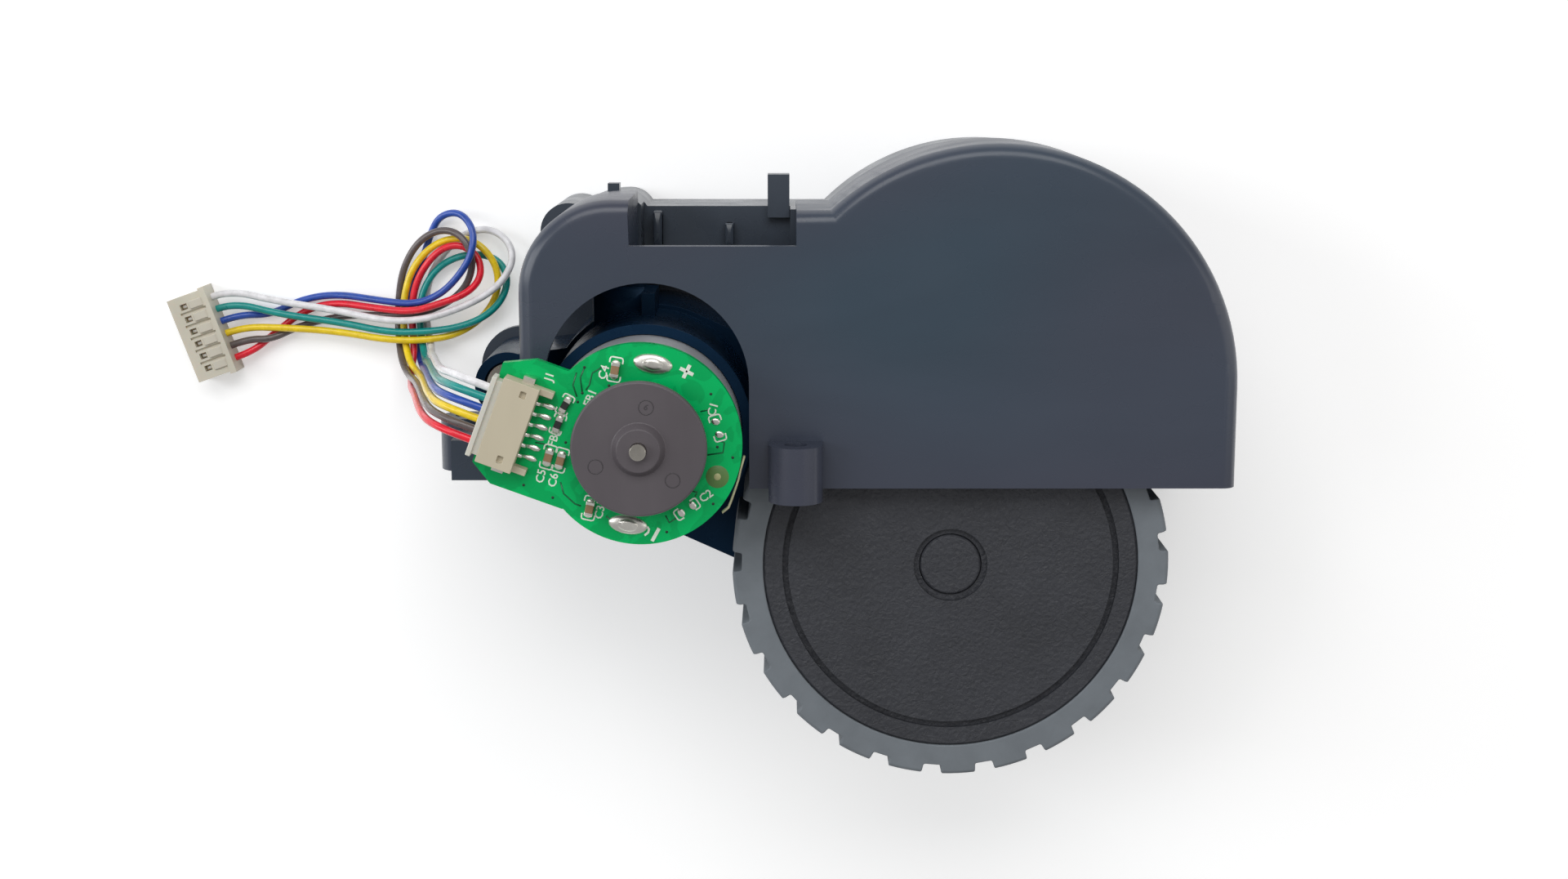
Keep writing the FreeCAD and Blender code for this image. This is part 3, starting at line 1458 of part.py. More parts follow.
# Wires: points chosen by hand from the photograph. Each goes from the far connector
# over the loop's left side, round the loop, and up to the plug on the board.
wire_routes = {
    "white": [
        (-38.2, 10.4, 2.3), (-28.6, 8.9, 2.3), (-20.5, 7.4, 4.1), (-14.8, 7.7, 4.4),
        (-9.6, 9.3, 4.4), (-5.2, 11.4, 4.2), (-2.3, 13.9, 4.1), (-0.8, 17.2, 3.6),
        (-2.1, 20.2, 2.6), (-5.4, 21.6, 1.2), (-9.0, 20.5, 0.6), (-12.2, 17.6, 0.6),
        (-14.4, 13.8, 0.6), (-15.1, 9.8, 0.6), (-14.9, 6.2, 0.6), (-14.1, 3.3, 2.2),
        (-13.5, 2.5, 6.2), (-12.6, 3.8, 12.8), (-10.4, 4.6, 23.6), (-7.6, 5.3, 38.0),
        (-5.6, 5.9, 46.2), (-4.0, 6.2, 50.2),
    ],
    "teal": [
        (-37.5, 8.3, 2.3), (-28.0, 7.0, 2.1), (-20.5, 5.6, 3.4), (-14.8, 5.7, 3.5),
        (-9.8, 6.3, 3.2), (-5.6, 7.9, 2.95), (-2.8, 10.6, 2.7), (-1.9, 13.9, 2.1),
        (-3.4, 16.7, 1.75), (-6.7, 17.7, 1.75), (-10.4, 17.0, 1.75), (-13.4, 15.0, 1.75),
        (-15.4, 11.6, 1.75), (-15.9, 7.8, 1.75), (-15.6, 4.4, 1.8), (-15.0, 2.0, 3.6),
        (-14.2, 1.5, 6.8), (-13.1, 2.6, 12.8), (-10.9, 3.4, 23.6), (-8.1, 4.1, 38.0),
        (-6.2, 4.6, 46.2), (-4.7, 4.8, 50.2),
    ],
    "blue": [
        (-39.2, 8.0, 0.6), (-34.4, 10.4, 0.6), (-28.9, 11.3, 0.6), (-22.0, 10.5, 2.6),
        (-16.5, 9.9, 3.5), (-12.2, 11.5, 4.3), (-9.0, 14.6, 5.5), (-6.9, 18.0, 6.0),
        (-6.7, 21.6, 4.8), (-9.0, 24.2, 3.0), (-12.4, 23.5, 1.4), (-14.1, 20.4, 0.6),
        (-15.3, 16.6, 0.6), (-16.9, 12.6, 0.6), (-17.6, 8.6, 0.6), (-17.0, 4.6, 0.6),
        (-16.2, 1.8, 1.2), (-15.3, 0.2, 3.6), (-14.5, 0.4, 7.0), (-13.6, 1.5, 12.8),
        (-11.4, 2.3, 23.6), (-8.6, 2.9, 38.0), (-6.8, 3.4, 46.2), (-5.3, 3.4, 50.2),
    ],
    "yellow": [
        (-36.5, 6.2, 2.5), (-28.5, 5.6, 2.1), (-20.5, 4.4, 3.5), (-14.8, 4.4, 3.4),
        (-10.4, 5.0, 2.4), (-6.6, 7.2, 1.7), (-4.2, 10.2, 1.6), (-3.3, 13.8, 2.5),
        (-4.2, 17.2, 3.2), (-7.1, 19.9, 2.9), (-10.9, 20.1, 2.2), (-14.3, 18.4, 1.75),
        (-17.0, 15.0, 1.75), (-18.25, 10.8, 1.75), (-18.4, 6.8, 1.75), (-18.1, 3.6, 2.2),
        (-17.2, 1.2, 4.3), (-15.6, 0.0, 7.2), (-14.3, 0.5, 12.8), (-12.0, 1.2, 23.6),
        (-9.2, 1.8, 38.0), (-7.3, 2.2, 46.2), (-5.9, 2.1, 50.2),
    ],
    "brown": [
        (-38.8, 4.4, 2.5), (-35.0, 6.2, 0.6), (-28.4, 7.9, 0.6), (-21.5, 8.2, 2.6),
        (-16.4, 8.3, 3.3), (-12.2, 9.6, 3.1), (-9.0, 11.8, 3.2), (-7.3, 14.8, 3.9),
        (-7.1, 18.2, 4.75), (-9.2, 21.1, 4.0), (-12.6, 21.4, 2.4), (-15.9, 19.4, 1.75),
        (-18.3, 15.4, 1.1), (-19.2, 11.0, 0.6), (-19.4, 7.0, 0.6), (-19.2, 3.6, 1.4),
        (-18.4, 0.9, 3.8), (-16.8, -0.7, 7.2), (-15.1, -0.4, 12.8), (-12.7, 0.2, 23.6),
        (-9.8, 0.7, 38.0), (-7.9, 1.0, 46.2), (-6.4, 0.8, 50.2),
    ],
    "red": [
        (-39.0, 4.9, 0.6), (-33.9, 8.8, 0.6), (-29.0, 10.0, 0.6), (-22.5, 9.3, 2.8),
        (-16.6, 8.9, 4.6), (-12.2, 10.2, 4.7), (-8.1, 11.7, 4.55), (-5.9, 14.0, 4.1),
        (-6.1, 17.0, 3.4), (-8.5, 19.1, 3.2), (-11.7, 18.8, 3.0), (-14.4, 16.3, 2.6),
        (-16.4, 12.8, 1.9), (-17.05, 9.0, 1.75), (-16.95, 5.6, 1.75), (-16.8, 2.4, 2.1),
        (-17.1, -0.3, 3.6), (-16.6, -1.9, 6.9), (-15.6, -1.7, 12.8), (-13.3, -0.9, 23.6),
        (-10.5, -0.4, 38.0), (-8.6, -0.2, 46.2), (-7.1, -0.5, 50.2),
    ],
}
far_lead, plug_lead = 3.0, 3.3


def wire_points(name):
    """The route with its straight leads out of both connectors."""
    i = list(wire_routes).index(name)
    place = number(far_pitch) * ((wire_count - 1) / 2.0 - i)
    points = []
    for across in (far_depth * 0.5, far_depth * 0.5 + far_lead):
        x, y = by_far(across, place)
        points.append(V(number(x), number(y), number(far_height) / 2))
    points += [V(*point) for point in wire_routes[name]]
    place = number(pin_pitch) * ((wire_count - 1) / 2.0 - i)
    for across in (0.0 - plug_back - plug_lead, 0.0 - plug_back):
        x, y = by_header(across, place)
        points.append(V(number(x), number(y), number(wire_z)))
    return points


def rounded_path(points):
    """Straight runs joined by tangent arcs, and the smallest radius among them."""
    edges, radii, start = [], [], points[0]
    for before, corner, after in zip(points, points[1:], points[2:]):
        back, ahead = before - corner, after - corner
        reach = 0.45 * min(back.Length, ahead.Length)
        turn = math.pi - back.getAngle(ahead)
        back.normalize()
        ahead.normalize()
        radius = reach / math.tan(turn / 2)
        radii.append(radius)
        enter, leave = corner + back * reach, corner + ahead * reach
        inward = (back + ahead).normalize()
        centre = corner + inward * (radius / math.cos(turn / 2))
        edges.append(Part.LineSegment(start, enter).toShape())
        edges.append(Part.Arc(enter, centre - inward * radius, leave).toShape())
        start = leave
    edges.append(Part.LineSegment(start, points[-1]).toShape())
    return Part.Wire(edges), min(radii)


def build_wire(name):
    points = wire_points(name)
    path, tightest = rounded_path(points)
    radius = number(wire_radius)
    section = Part.Wire(Part.makeCircle(radius, points[0], points[1] - points[0]))
    obj = doc.addObject("Part::Feature", name + "_tube")
    obj.Shape = path.makePipeShell([section], True, False)
    share = obj.Shape.Volume / (math.pi * radius ** 2 * path.Length)
    print(name, "length", round(path.Length, 1), "radius", round(tightest, 2), round(share, 4))
    return obj


keep(build_far_connector(), "far_connector")
keep(build_far_contacts(), "far_contacts")
for colour in wire_routes:
    keep(build_wire(colour), "wire_" + colour)

doc.recompute()
for obj in doc.Objects:
    if "Invalid" in obj.State or "Error" in obj.State:
        print("failed", obj.Name, obj.State)
os.makedirs("parts", exist_ok=True)
for node in nodes:
    shape = node.Shape
    good = not shape.isNull() and shape.isValid()
    print(node.Label, good, len(shape.Solids), round(shape.Volume, 1))
    if good:
        shape.exportStep("parts/%s.step" % node.Label)
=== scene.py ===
# %% [markdown]
# Robot vacuum wheel module.
# The real thing is a moulded housing with a swinging gear case hung in it on a sprung pivot.
# The gear case carries a motor with a round encoder board, and the drive wheel.
# The solids come from the imported frame. This lesson gives them their surfaces, and adds what
# a solid model leaves out: rounded mould edges, wires as curves, solder, the board's printed
# marks, threads on the screws, and a coiled spring.

# %% Load the frame
import math

import bpy
import numpy as np
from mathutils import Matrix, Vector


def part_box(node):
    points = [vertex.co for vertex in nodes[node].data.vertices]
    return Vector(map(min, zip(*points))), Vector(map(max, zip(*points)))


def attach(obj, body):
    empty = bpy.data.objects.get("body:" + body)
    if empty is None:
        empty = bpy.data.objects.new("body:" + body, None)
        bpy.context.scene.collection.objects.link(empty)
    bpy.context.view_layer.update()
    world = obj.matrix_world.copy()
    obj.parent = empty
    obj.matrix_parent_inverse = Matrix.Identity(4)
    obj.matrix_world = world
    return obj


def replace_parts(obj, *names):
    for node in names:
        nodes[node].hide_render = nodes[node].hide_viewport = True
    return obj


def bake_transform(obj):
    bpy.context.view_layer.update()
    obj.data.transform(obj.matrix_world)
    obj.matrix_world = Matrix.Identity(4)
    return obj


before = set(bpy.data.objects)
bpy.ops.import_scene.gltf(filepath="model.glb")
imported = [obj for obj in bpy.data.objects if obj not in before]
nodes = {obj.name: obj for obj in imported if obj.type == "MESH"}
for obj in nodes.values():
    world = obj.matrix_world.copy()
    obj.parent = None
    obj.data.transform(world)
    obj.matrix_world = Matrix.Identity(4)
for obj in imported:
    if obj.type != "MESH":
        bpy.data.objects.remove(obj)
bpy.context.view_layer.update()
scene = bpy.context.scene
MM = 0.001


def add_object(name, data, body=None):
    """A new object in the scene, riding on a body if one is named."""
    thing = bpy.data.objects.new(name, data)
    scene.collection.objects.link(thing)
    if body:
        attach(thing, body)
    return thing


# %% [markdown]
# The camera. The photograph looks almost straight down on the module, tipped ten degrees,
# with a slightly long lens. It could be placed by eye, but its numbers come from matching
# the wheel, the screw boss and the far corner of the housing, so the render can be laid over it.

# %% Camera
PHOTO_TILT = math.radians(-10.0)
CAMERA_PLACE = (0.0406, 0.04954, 0.3478)
LENS, SENSOR, NEAR_LIMIT = 51.56, 36.0, 0.01
camera_data = bpy.data.cameras.new("photo_camera")
camera_data.lens = LENS
camera_data.sensor_width = SENSOR
camera_data.clip_start = NEAR_LIMIT
camera = add_object("photo_camera", camera_data)
camera.location = CAMERA_PLACE
camera.rotation_euler = (PHOTO_TILT, 0.0, 0.0)
scene.camera = camera
print("camera height above the table, mm:", round(camera.location.z / MM, 1))

# %% [markdown]
# Light. Glossy dark plastic shows its lamps, so what it mirrors matters as much as how
# brightly it is lit. The big soft panel stands behind the module, where the flat face doesn't
# mirror it into the eye, so the face stays dark and only the edges turned to it light up.
# Two long side panels draw thin lines along the other rounded edges.

# %% Studio light
scene.view_settings.view_transform = "Standard"
MIDDLE = (0.04, -0.005, 0.03)
PANELS = [  # name, place, width and height in metres, watts, tint
    ("high_panel", (0.02, 0.55, 0.65), 0.8, 0.45, 3.2, (1.0, 1.0, 1.0)),
    ("left_panel", (-0.55, 0.15, 0.38), 0.25, 0.7, 1.8, (0.96, 0.98, 1.0)),
    ("right_panel", (0.62, 0.05, 0.34), 0.25, 0.7, 0.5, (1.0, 0.97, 0.93)),
]


def softbox(name, place, width, height, watts, tint):
    """A flat rectangular lamp that faces the module's middle."""
    lamp = bpy.data.lights.new(name, "AREA")
    lamp.shape = "RECTANGLE"
    lamp.size, lamp.size_y = width, height
    lamp.energy = watts
    lamp.color = tint
    holder = add_object(name, lamp)
    holder.location = place
    direction = Vector(np.array(MIDDLE) - np.array(place))
    holder.rotation_euler = direction.to_track_quat("-Z", "Y").to_euler()


for panel in PANELS:
    softbox(*panel)
print("lamps:", [name for name, *_ in PANELS])

# %% [markdown]
# Room and floor. Lighting the floor until it is white would wash out the module. So the
# world and the floor are bright only for rays that come from the eye, and the floor also for
# those from a mirror or clear plastic. Its own lit white stays under that glow, and with it
# the module's shadow.

# %% Room and floor
ROOM_LIGHT = 0.36
FLOOR_REACH, FLOOR_WHITE, FLOOR_ROUGHNESS, FLOOR_GLOW = 3.0, 0.9, 0.9, 0.34


def add_node(tree, kind, values=None, **settings):
    """A new node with its inputs' values by name or number, and its other settings."""
    made = tree.nodes.new(kind)
    for key, value in (values or {}).items():
        made.inputs[key].default_value = value
    for key, value in settings.items():
        setattr(made, key, value)
    return made


def pale_room():
    """The world: an even weak light on the object, a plain bright one for the camera."""
    world = bpy.data.worlds.new("white_room")
    world.use_nodes = True
    tree, join = world.node_tree, world.node_tree.links.new
    back = tree.nodes["Background"]
    back.inputs["Color"].default_value = (1.0, 1.0, 1.0, 1.0)
    back.inputs["Strength"].default_value = ROOM_LIGHT
    seen = add_node(tree, "ShaderNodeBackground", {"Strength": 1.0})
    path = add_node(tree, "ShaderNodeLightPath")
    either = add_node(tree, "ShaderNodeMixShader")
    join(path.outputs["Is Camera Ray"], either.inputs["Fac"])
    join(back.outputs[0], either.inputs[1])
    join(seen.outputs[0], either.inputs[2])
    join(either.outputs[0], tree.nodes["World Output"].inputs["Surface"])
    scene.world = world


def whiten_for_eye(tree, shader):
    """Adds a plain white glow where the eye, a mirror or clear plastic sees the surface. The
    lit white stays under it, so the object's shadow still shows."""
    join = tree.links.new
    path = add_node(tree, "ShaderNodeLightPath")
    total = path.outputs["Is Camera Ray"]
    for other in ("Is Glossy Ray", "Is Transmission Ray"):
        adder = add_node(tree, "ShaderNodeMath", operation="ADD", use_clamp=True)
        join(total, adder.inputs[0])
        join(path.outputs[other], adder.inputs[1])
        total = adder.outputs[0]
    level = add_node(tree, "ShaderNodeMath", {1: FLOOR_GLOW}, operation="MULTIPLY")
    join(total, level.inputs[0])
    glow = add_node(tree, "ShaderNodeEmission")
    join(level.outputs[0], glow.inputs["Strength"])
    both = add_node(tree, "ShaderNodeAddShader")
    join(shader.outputs[0], both.inputs[0])
    join(glow.outputs[0], both.inputs[1])
    join(both.outputs[0], tree.nodes["Material Output"].inputs["Surface"])


def pale_floor():
    """A large pale table at Z = 0; it keeps the object's shadow."""
    side, tone = FLOOR_REACH, FLOOR_WHITE
    mesh = bpy.data.meshes.new("table_top")
    corners = [(-side, -side, 0.0), (side, -side, 0.0), (side, side, 0.0), (-side, side, 0.0)]
    mesh.from_pydata(corners, [], [(0, 1, 2, 3)])
    finish = bpy.data.materials.new("table_white")
    finish.use_nodes = True
    shader = finish.node_tree.nodes["Principled BSDF"]
    shader.inputs["Base Color"].default_value = (tone, tone, tone, 1.0)
    shader.inputs["Roughness"].default_value = FLOOR_ROUGHNESS
    whiten_for_eye(finish.node_tree, shader)
    mesh.materials.append(finish)
    add_object("table_top", mesh)


pale_room()
pale_floor()
print("floor:", 2 * FLOOR_REACH, "m across")

# %% [markdown]
# Surfaces as grids. Nearly every small piece here is a grid of points: one direction runs
# round or across, the other along. The first helper numbers the quads of such a grid. The
# second hands whole arrays to Blender, welds the points that meet at poles and ends, and
# turns every face outwards.

# %% Grid helpers
import bmesh

THIN_FACE = 1e-8


def quads(rows, columns, close_rows=False, close_columns=False):
    """Corner numbers of the quads of a rows x columns grid of points.
    Quad (i, j) joins points (i, j), (i+1, j), (i+1, j+1), (i, j+1), counted modulo the
    grid where that direction closes on itself."""
    i = np.arange(rows if close_rows else rows - 1)[:, None]
    j = np.arange(columns if close_columns else columns - 1)[None, :]
    i2, j2 = (i + 1) % rows, (j + 1) % columns
    corners = np.broadcast_arrays(
        i * columns + j, i2 * columns + j, i2 * columns + j2, i * columns + j2
    )
    return np.stack(corners, -1).reshape(-1, 4)


def outward_mesh(name, spots, faces, weld, flat_angle=None, smooth=True):
    """A mesh from points in metres and lists of corner numbers. Points nearer than weld are
    merged. Then neighbours within flat_angle of each other become one face or, without it,
    faces that the merge left thin go. Last, every face is turned outwards."""
    mesh = bpy.data.meshes.new(name)
    mesh.from_pydata(spots.tolist(), [], faces)
    shell = bmesh.new()
    shell.from_mesh(mesh)
    bmesh.ops.remove_doubles(shell, verts=shell.verts, dist=weld)
    if flat_angle is None:
        bmesh.ops.dissolve_degenerate(shell, edges=shell.edges, dist=THIN_FACE)
    else:
        bmesh.ops.dissolve_limit(
            shell, angle_limit=flat_angle, verts=shell.verts, edges=shell.edges
        )
    bmesh.ops.recalc_face_normals(shell, faces=shell.faces)
    shell.to_mesh(mesh)
    shell.free()
    mesh.polygons.foreach_set("use_smooth", np.full(len(mesh.polygons), smooth))
    mesh.update()
    return mesh


def points_of(mesh):
    """A mesh's points as rows x, y, z."""
    spots = np.empty(len(mesh.vertices) * 3)
    mesh.vertices.foreach_get("co", spots)
    return spots.reshape(-1, 3)


print("a 3 x 4 grid of points has", len(quads(3, 4)), "quads")

# %% [markdown]
# Shapes. Each of these gives back points and faces, so several can be joined into one piece
# before Blender sees them.

# %% Turned shapes, rods and blocks


def joined(parts):
    """Several (points, faces) pairs as one: each face list is moved up by the points before it."""
    starts = np.cumsum([0] + [len(p) for p, _ in parts])[:-1]
    points = np.concatenate([p for p, _ in parts])
    faces = np.concatenate([f + start for (_, f), start in zip(parts, starts)])
    return points, faces


def lathed(profile, centre, steps=72):
    """A closed turned shape. The profile's rows (r, z) in mm run from the axis out and back
    to it: x = cx + r cos a, y = cy + r sin a."""
    r, z = np.asarray(profile, float).T[:, :, None]
    angle = np.linspace(0.0, 2 * np.pi, steps, endpoint=False)
    x = centre[0] + r * np.cos(angle)
    y = centre[1] + r * np.sin(angle)
    points = np.stack([x, y, np.broadcast_to(z, x.shape)], -1).reshape(-1, 3)
    return points, quads(len(profile), steps, close_columns=True)


def swept(path, width, height=None, sides=10, up=(0.0, 0.0, 1.0), closed=False):
    """A rod of oval section carried along a path in mm. With tangent t and side s = t x up,
    a ring's points are p + s (w/2) cos a + (s x t) (h/2) sin a. An open rod's ends close on
    one more ring, shrunk to the end point."""
    path = np.asarray(path, float)
    height = width if height is None else height
    ahead = np.roll(path, -1, 0) - np.roll(path, 1, 0) if closed else np.gradient(path, axis=0)
    ahead = ahead / np.linalg.norm(ahead, axis=1, keepdims=True)
    side = np.cross(ahead, np.broadcast_to(np.asarray(up, float), path.shape))
    side = side / np.linalg.norm(side, axis=1, keepdims=True)
    over = np.cross(side, ahead)
    angle = np.linspace(0.0, 2 * np.pi, sides, endpoint=False)[None, :, None]
    ring = path[:, None] + side[:, None] * np.cos(angle) * (width / 2)
    ring = ring + over[:, None] * np.sin(angle) * (height / 2)
    if not closed:
        ends = [np.repeat(path[k][None, None], sides, 1) for k in (0, -1)]
        ring = np.concatenate([ends[0], ring, ends[1]])
    faces = quads(len(ring), sides, close_rows=closed, close_columns=True)
    return ring.reshape(-1, 3), faces


def turned(points, centre, angle, z=0.0):
    """Points turned by an angle in degrees round the Z axis and moved to a place."""
    points = np.asarray(points, float)
    c, s = math.cos(math.radians(angle)), math.sin(math.radians(angle))
    x = centre[0] + points[:, 0] * c - points[:, 1] * s
    y = centre[1] + points[:, 0] * s + points[:, 1] * c
    return np.stack([x, y, points[:, 2] + z], -1)


def pillow(centre, angle, z, length, width, height, soft=0.08):
    """A block with softened edges. Its outline is m + n (c - inset), where m is the middle
    of a corner's arc, n = (cos a, sin a) and c the arc's radius. The inset is soft at the
    bottom and the top, and one more ring at each end shrinks to a point."""
    corner = max(min(length, width) * 0.12, soft * 1.2)
    a = np.radians(90.0 * np.arange(4)[:, None] + np.linspace(0.0, 90.0, 5)).ravel()
    mx = np.repeat([1, -1, -1, 1], 5) * (length / 2 - corner)
    my = np.repeat([1, 1, -1, -1], 5) * (width / 2 - corner)
    reach = corner - soft * np.array([1, 1, 0, 0, 1, 1])[:, None]
    rise = np.array([0.0, 0.0, soft, height - soft, height, height])[:, None]
    open_ring = np.array([0, 1, 1, 1, 1, 0])[:, None]
    x = open_ring * (mx + np.cos(a) * reach)
    y = open_ring * (my + np.sin(a) * reach)
    grid = np.stack([x, y, np.broadcast_to(rise, x.shape)], -1).reshape(-1, 3)
    return turned(grid, centre, angle, z), quads(*x.shape, close_columns=True)

# %% [markdown]
# Finishes. A moulded part is never one flat colour: the mould's polish wanders a little,
# the plastic flows in faint streaks, and fingers leave duller patches. Each finish here is a
# noise that shifts the colour a little, one that shifts the roughness, and a fine bump.
# Metals are the same recipe with their noise stretched along one direction, like a drawn or
# ground surface. A noise's scale counts its clouds in a metre, so 1000 is one a millimetre.

# %% A finish under construction
EVEN = (1.0, 1.0, 1.0)
FLOW_STREAK = (1.0, 0.25, 1.0)
WALL_LEVEL, FACE_LEVEL = 0.06, 0.5


def shade(colour, factor):
    """The colour made lighter or darker."""
    return tuple(min(1.0, c * factor) for c in colour)


class Finish:
    """A material under construction: its node tree and its main shader."""

    def __init__(self, name, colour, roughness, metallic=0.0, **sockets):
        self.colour = colour
        self.material = bpy.data.materials.new(name)
        self.material.use_nodes = True
        self.material.diffuse_color = (*colour, 1.0)
        self.tree = self.material.node_tree
        self.shader = self.tree.nodes["Principled BSDF"]
        values = {"Base_Color": (*colour, 1.0), "Roughness": roughness, "Metallic": metallic}
        for socket, value in (values | sockets).items():
            self.shader.inputs[socket.replace("_", " ")].default_value = value

    def node(self, kind, values=None, **settings):
        """A new node in this finish."""
        return add_node(self.tree, kind, values, **settings)

    def join(self, source, target):
        """A link from one node's output to another's input."""
        self.tree.links.new(source, target)

    def place(self, stretch=EVEN):
        """Object coordinates in metres, times stretch."""
        mapping = self.node("ShaderNodeMapping", {"Scale": stretch})
        self.join(self.node("ShaderNodeTexCoord").outputs["Object"], mapping.inputs["Vector"])
        return mapping.outputs["Vector"]

    def noise(self, scale, detail=3.0, rough=0.5, stretch=EVEN, warp=0.0):
        """Clouds from 0 to 1, most of them between 0.3 and 0.7."""
        values = {"Scale": scale, "Detail": detail, "Roughness": rough, "Distortion": warp}
        made = self.node("ShaderNodeTexNoise", values)
        self.join(self.place(stretch), made.inputs["Vector"])
        return made.outputs["Fac"]

    def span(self, value, low=0.0, high=1.0, start=0.3, end=0.7):
        """Maps a value from start..end to low..high, held at both ends."""
        values = {"From Min": start, "From Max": end, "To Min": low, "To Max": high}
        made = self.node("ShaderNodeMapRange", values)
        self.join(value, made.inputs["Value"])
        return made.outputs["Result"]

    def blend(self, factor, first, second):
        """A colour that goes from first to second; either may be a colour or a socket."""
        made = self.node("ShaderNodeMix", data_type="RGBA")
        self.join(factor, made.inputs[0])
        for index, colour in ((6, first), (7, second)):
            if isinstance(colour, tuple):
                made.inputs[index].default_value = (*colour, 1.0)
            else:
                self.join(colour, made.inputs[index])
        return made.outputs[2]

    def paint(self, socket):
        """The surface's colour comes from a socket."""
        self.join(socket, self.shader.inputs["Base Color"])

    def mottle(self, value, dark, light):
        """The finish's own colour, from dark times to light times it as a value rises."""
        ends = shade(self.colour, dark), shade(self.colour, light)
        self.paint(self.blend(self.span(value), *ends))

    def shine(self, value, low, high):
        """Roughness that wanders between low and high with a value."""
        self.join(self.span(value, low, high), self.shader.inputs["Roughness"])

    def dull_walls(self):
        """Less gloss on upright walls than on faces and rounded edges. The level follows
        the upward part of the surface's own direction, nz."""
        parts = self.node("ShaderNodeSeparateXYZ")
        self.join(self.node("ShaderNodeTexCoord").outputs["Normal"], parts.inputs[0])
        level = self.span(parts.outputs["Z"], WALL_LEVEL, FACE_LEVEL, 0.1, 0.45)
        self.join(level, self.shader.inputs["Specular IOR Level"])

    def bump(self, value, strength, depth_mm):
        """Height that follows a value, on top of the bumps given before."""
        values = {"Strength": strength, "Distance": depth_mm * MM}
        made = self.node("ShaderNodeBump", values)
        before = self.shader.inputs["Normal"].links
        if before:
            self.join(before[0].from_socket, made.inputs["Normal"])
        self.join(value, made.inputs["Height"])
        self.join(made.outputs["Normal"], self.shader.inputs["Normal"])


# %% [markdown]
# Recipes. Plastic and metal have one recipe each, so a new finish is only a name, a colour,
# the two ends of its roughness, and the things that wear it.

# %% Recipes for plastic and metal


def moulded(name, colour, low, high, *things, **sockets):
    """Glossy or satin moulded plastic: flow streaks in colour and polish, a fine ripple.
    It is given to the things named."""
    made = Finish(name, colour, (low + high) / 2, **sockets)
    made.mottle(made.noise(55.0, 4.0, 0.55, FLOW_STREAK, 0.6), 0.86, 1.16)
    made.shine(made.noise(160.0, 5.0, 0.6), low, high)
    made.bump(made.noise(2600.0, 2.0), 0.25, 0.02)
    dress(made, *things)
    return made


def shell_plastic(name, first, second, low, high):
    """Dark glossy shell: the colour moves slowly between two tones over several cm, a painted
    reflection tint, with fainter flow streaks on it, and the polish is a little cloudy."""
    made = Finish(name, first, (low + high) / 2)
    # The slow teal to plum shift is painted reflection, not a change in the plastic.
    reflection_drift = made.noise(11.0, 1.0, 0.4, (1.0, 1.5, 1.0))
    reflection_drift = made.span(reflection_drift, start=0.38, end=0.62)
    flow = made.span(made.noise(60.0, 4.0, 0.55, (0.3, 1.0, 1.0), 0.4))
    dull = made.blend(reflection_drift, shade(first, 0.93), shade(second, 0.93))
    clear = made.blend(reflection_drift, shade(first, 1.07), shade(second, 1.07))
    made.paint(made.blend(flow, dull, clear))
    made.shine(made.noise(120.0, 4.0, 0.5, (0.6, 1.0, 1.0)), low, high)
    made.bump(made.noise(420.0, 2.0), 0.1, 0.008)
    made.dull_walls()
    return made


def metal(name, colour, low, high, *things, stretch=EVEN):
    """Plated or ground metal: fine stretched scratches over a slightly cloudy polish."""
    made = Finish(name, colour, (low + high) / 2, metallic=1.0)
    made.mottle(made.noise(240.0, 4.0, 0.6), 0.82, 1.12)
    made.shine(made.noise(700.0, 3.0, 0.5, stretch), low, high)
    made.bump(made.noise(3500.0, 2.0, 0.5, stretch), 0.3, 0.006)
    dress(made, *things)
    return made


def dress(finish, *things):
    """Gives every slot of these pieces or node names this finish."""
    for thing in things:
        thing = nodes[thing] if isinstance(thing, str) else thing
        if not thing.material_slots:
            thing.data.materials.append(finish.material)
        for slot in thing.material_slots:
            slot.material = finish.material


# %% [markdown]
# The big mouldings are glossy ABS, nearly black with some blue in it. Its gloss is a little
# uneven, so the lamps show in it as soft cloudy bands and not as in a mirror. The housing's
# upright walls would mirror the pale floor, so they get less of it.

# %% Finishes for the mouldings
# Teal and plum are the two ends of the housing's painted reflection tint.
HOUSING_TEAL = (0.040, 0.064, 0.092)
HOUSING_PLUM = (0.056, 0.055, 0.080)
FRAME_SLATE = (0.050, 0.062, 0.082)
CASE_BLUE = (0.005, 0.019, 0.045)
SHEEN_BLUE = (0.35, 0.62, 1.0, 1.0)
housing_abs = shell_plastic("housing_abs", HOUSING_TEAL, HOUSING_PLUM, 0.22, 0.33)
dress(housing_abs, "outer_housing")
frame_abs = moulded("frame_abs", FRAME_SLATE, 0.22, 0.36, "inner_frame")
case_abs = moulded(
    "case_abs", CASE_BLUE, 0.22, 0.36, "gear_case_front", "gear_case_rear",
    Specular_IOR_Level=0.2, Specular_Tint=SHEEN_BLUE,
)
MILKY = {"Subsurface_Weight": 0.08}
GEARS = ("reduction_gear_1", "reduction_gear_2", "output_gear")
header_nylon = moulded("header_nylon", (0.56, 0.50, 0.37), 0.45, 0.6, "board_header")
far_nylon = moulded("far_nylon", (0.60, 0.55, 0.45), 0.35, 0.5, "far_connector", **MILKY)
plug_nylon = moulded("plug_nylon", (0.66, 0.63, 0.55), 0.42, 0.55, "wire_plug", **MILKY)
moulded("end_cap_nylon", (0.02, 0.02, 0.022), 0.4, 0.55, "motor_end_cap")
moulded("gear_acetal", (0.78, 0.76, 0.68), 0.35, 0.5, *GEARS)
print("finishes so far:", len(bpy.data.materials))

# %% [markdown]
# Metals and magnets. Drawn and ground steel has its scratches along the axis, plated and
# tinned pieces have none that show. The flux ring's zinc is dull, so it is made as a
# moulding that is partly metal, and ferrite and ceramic are made as matt mouldings.

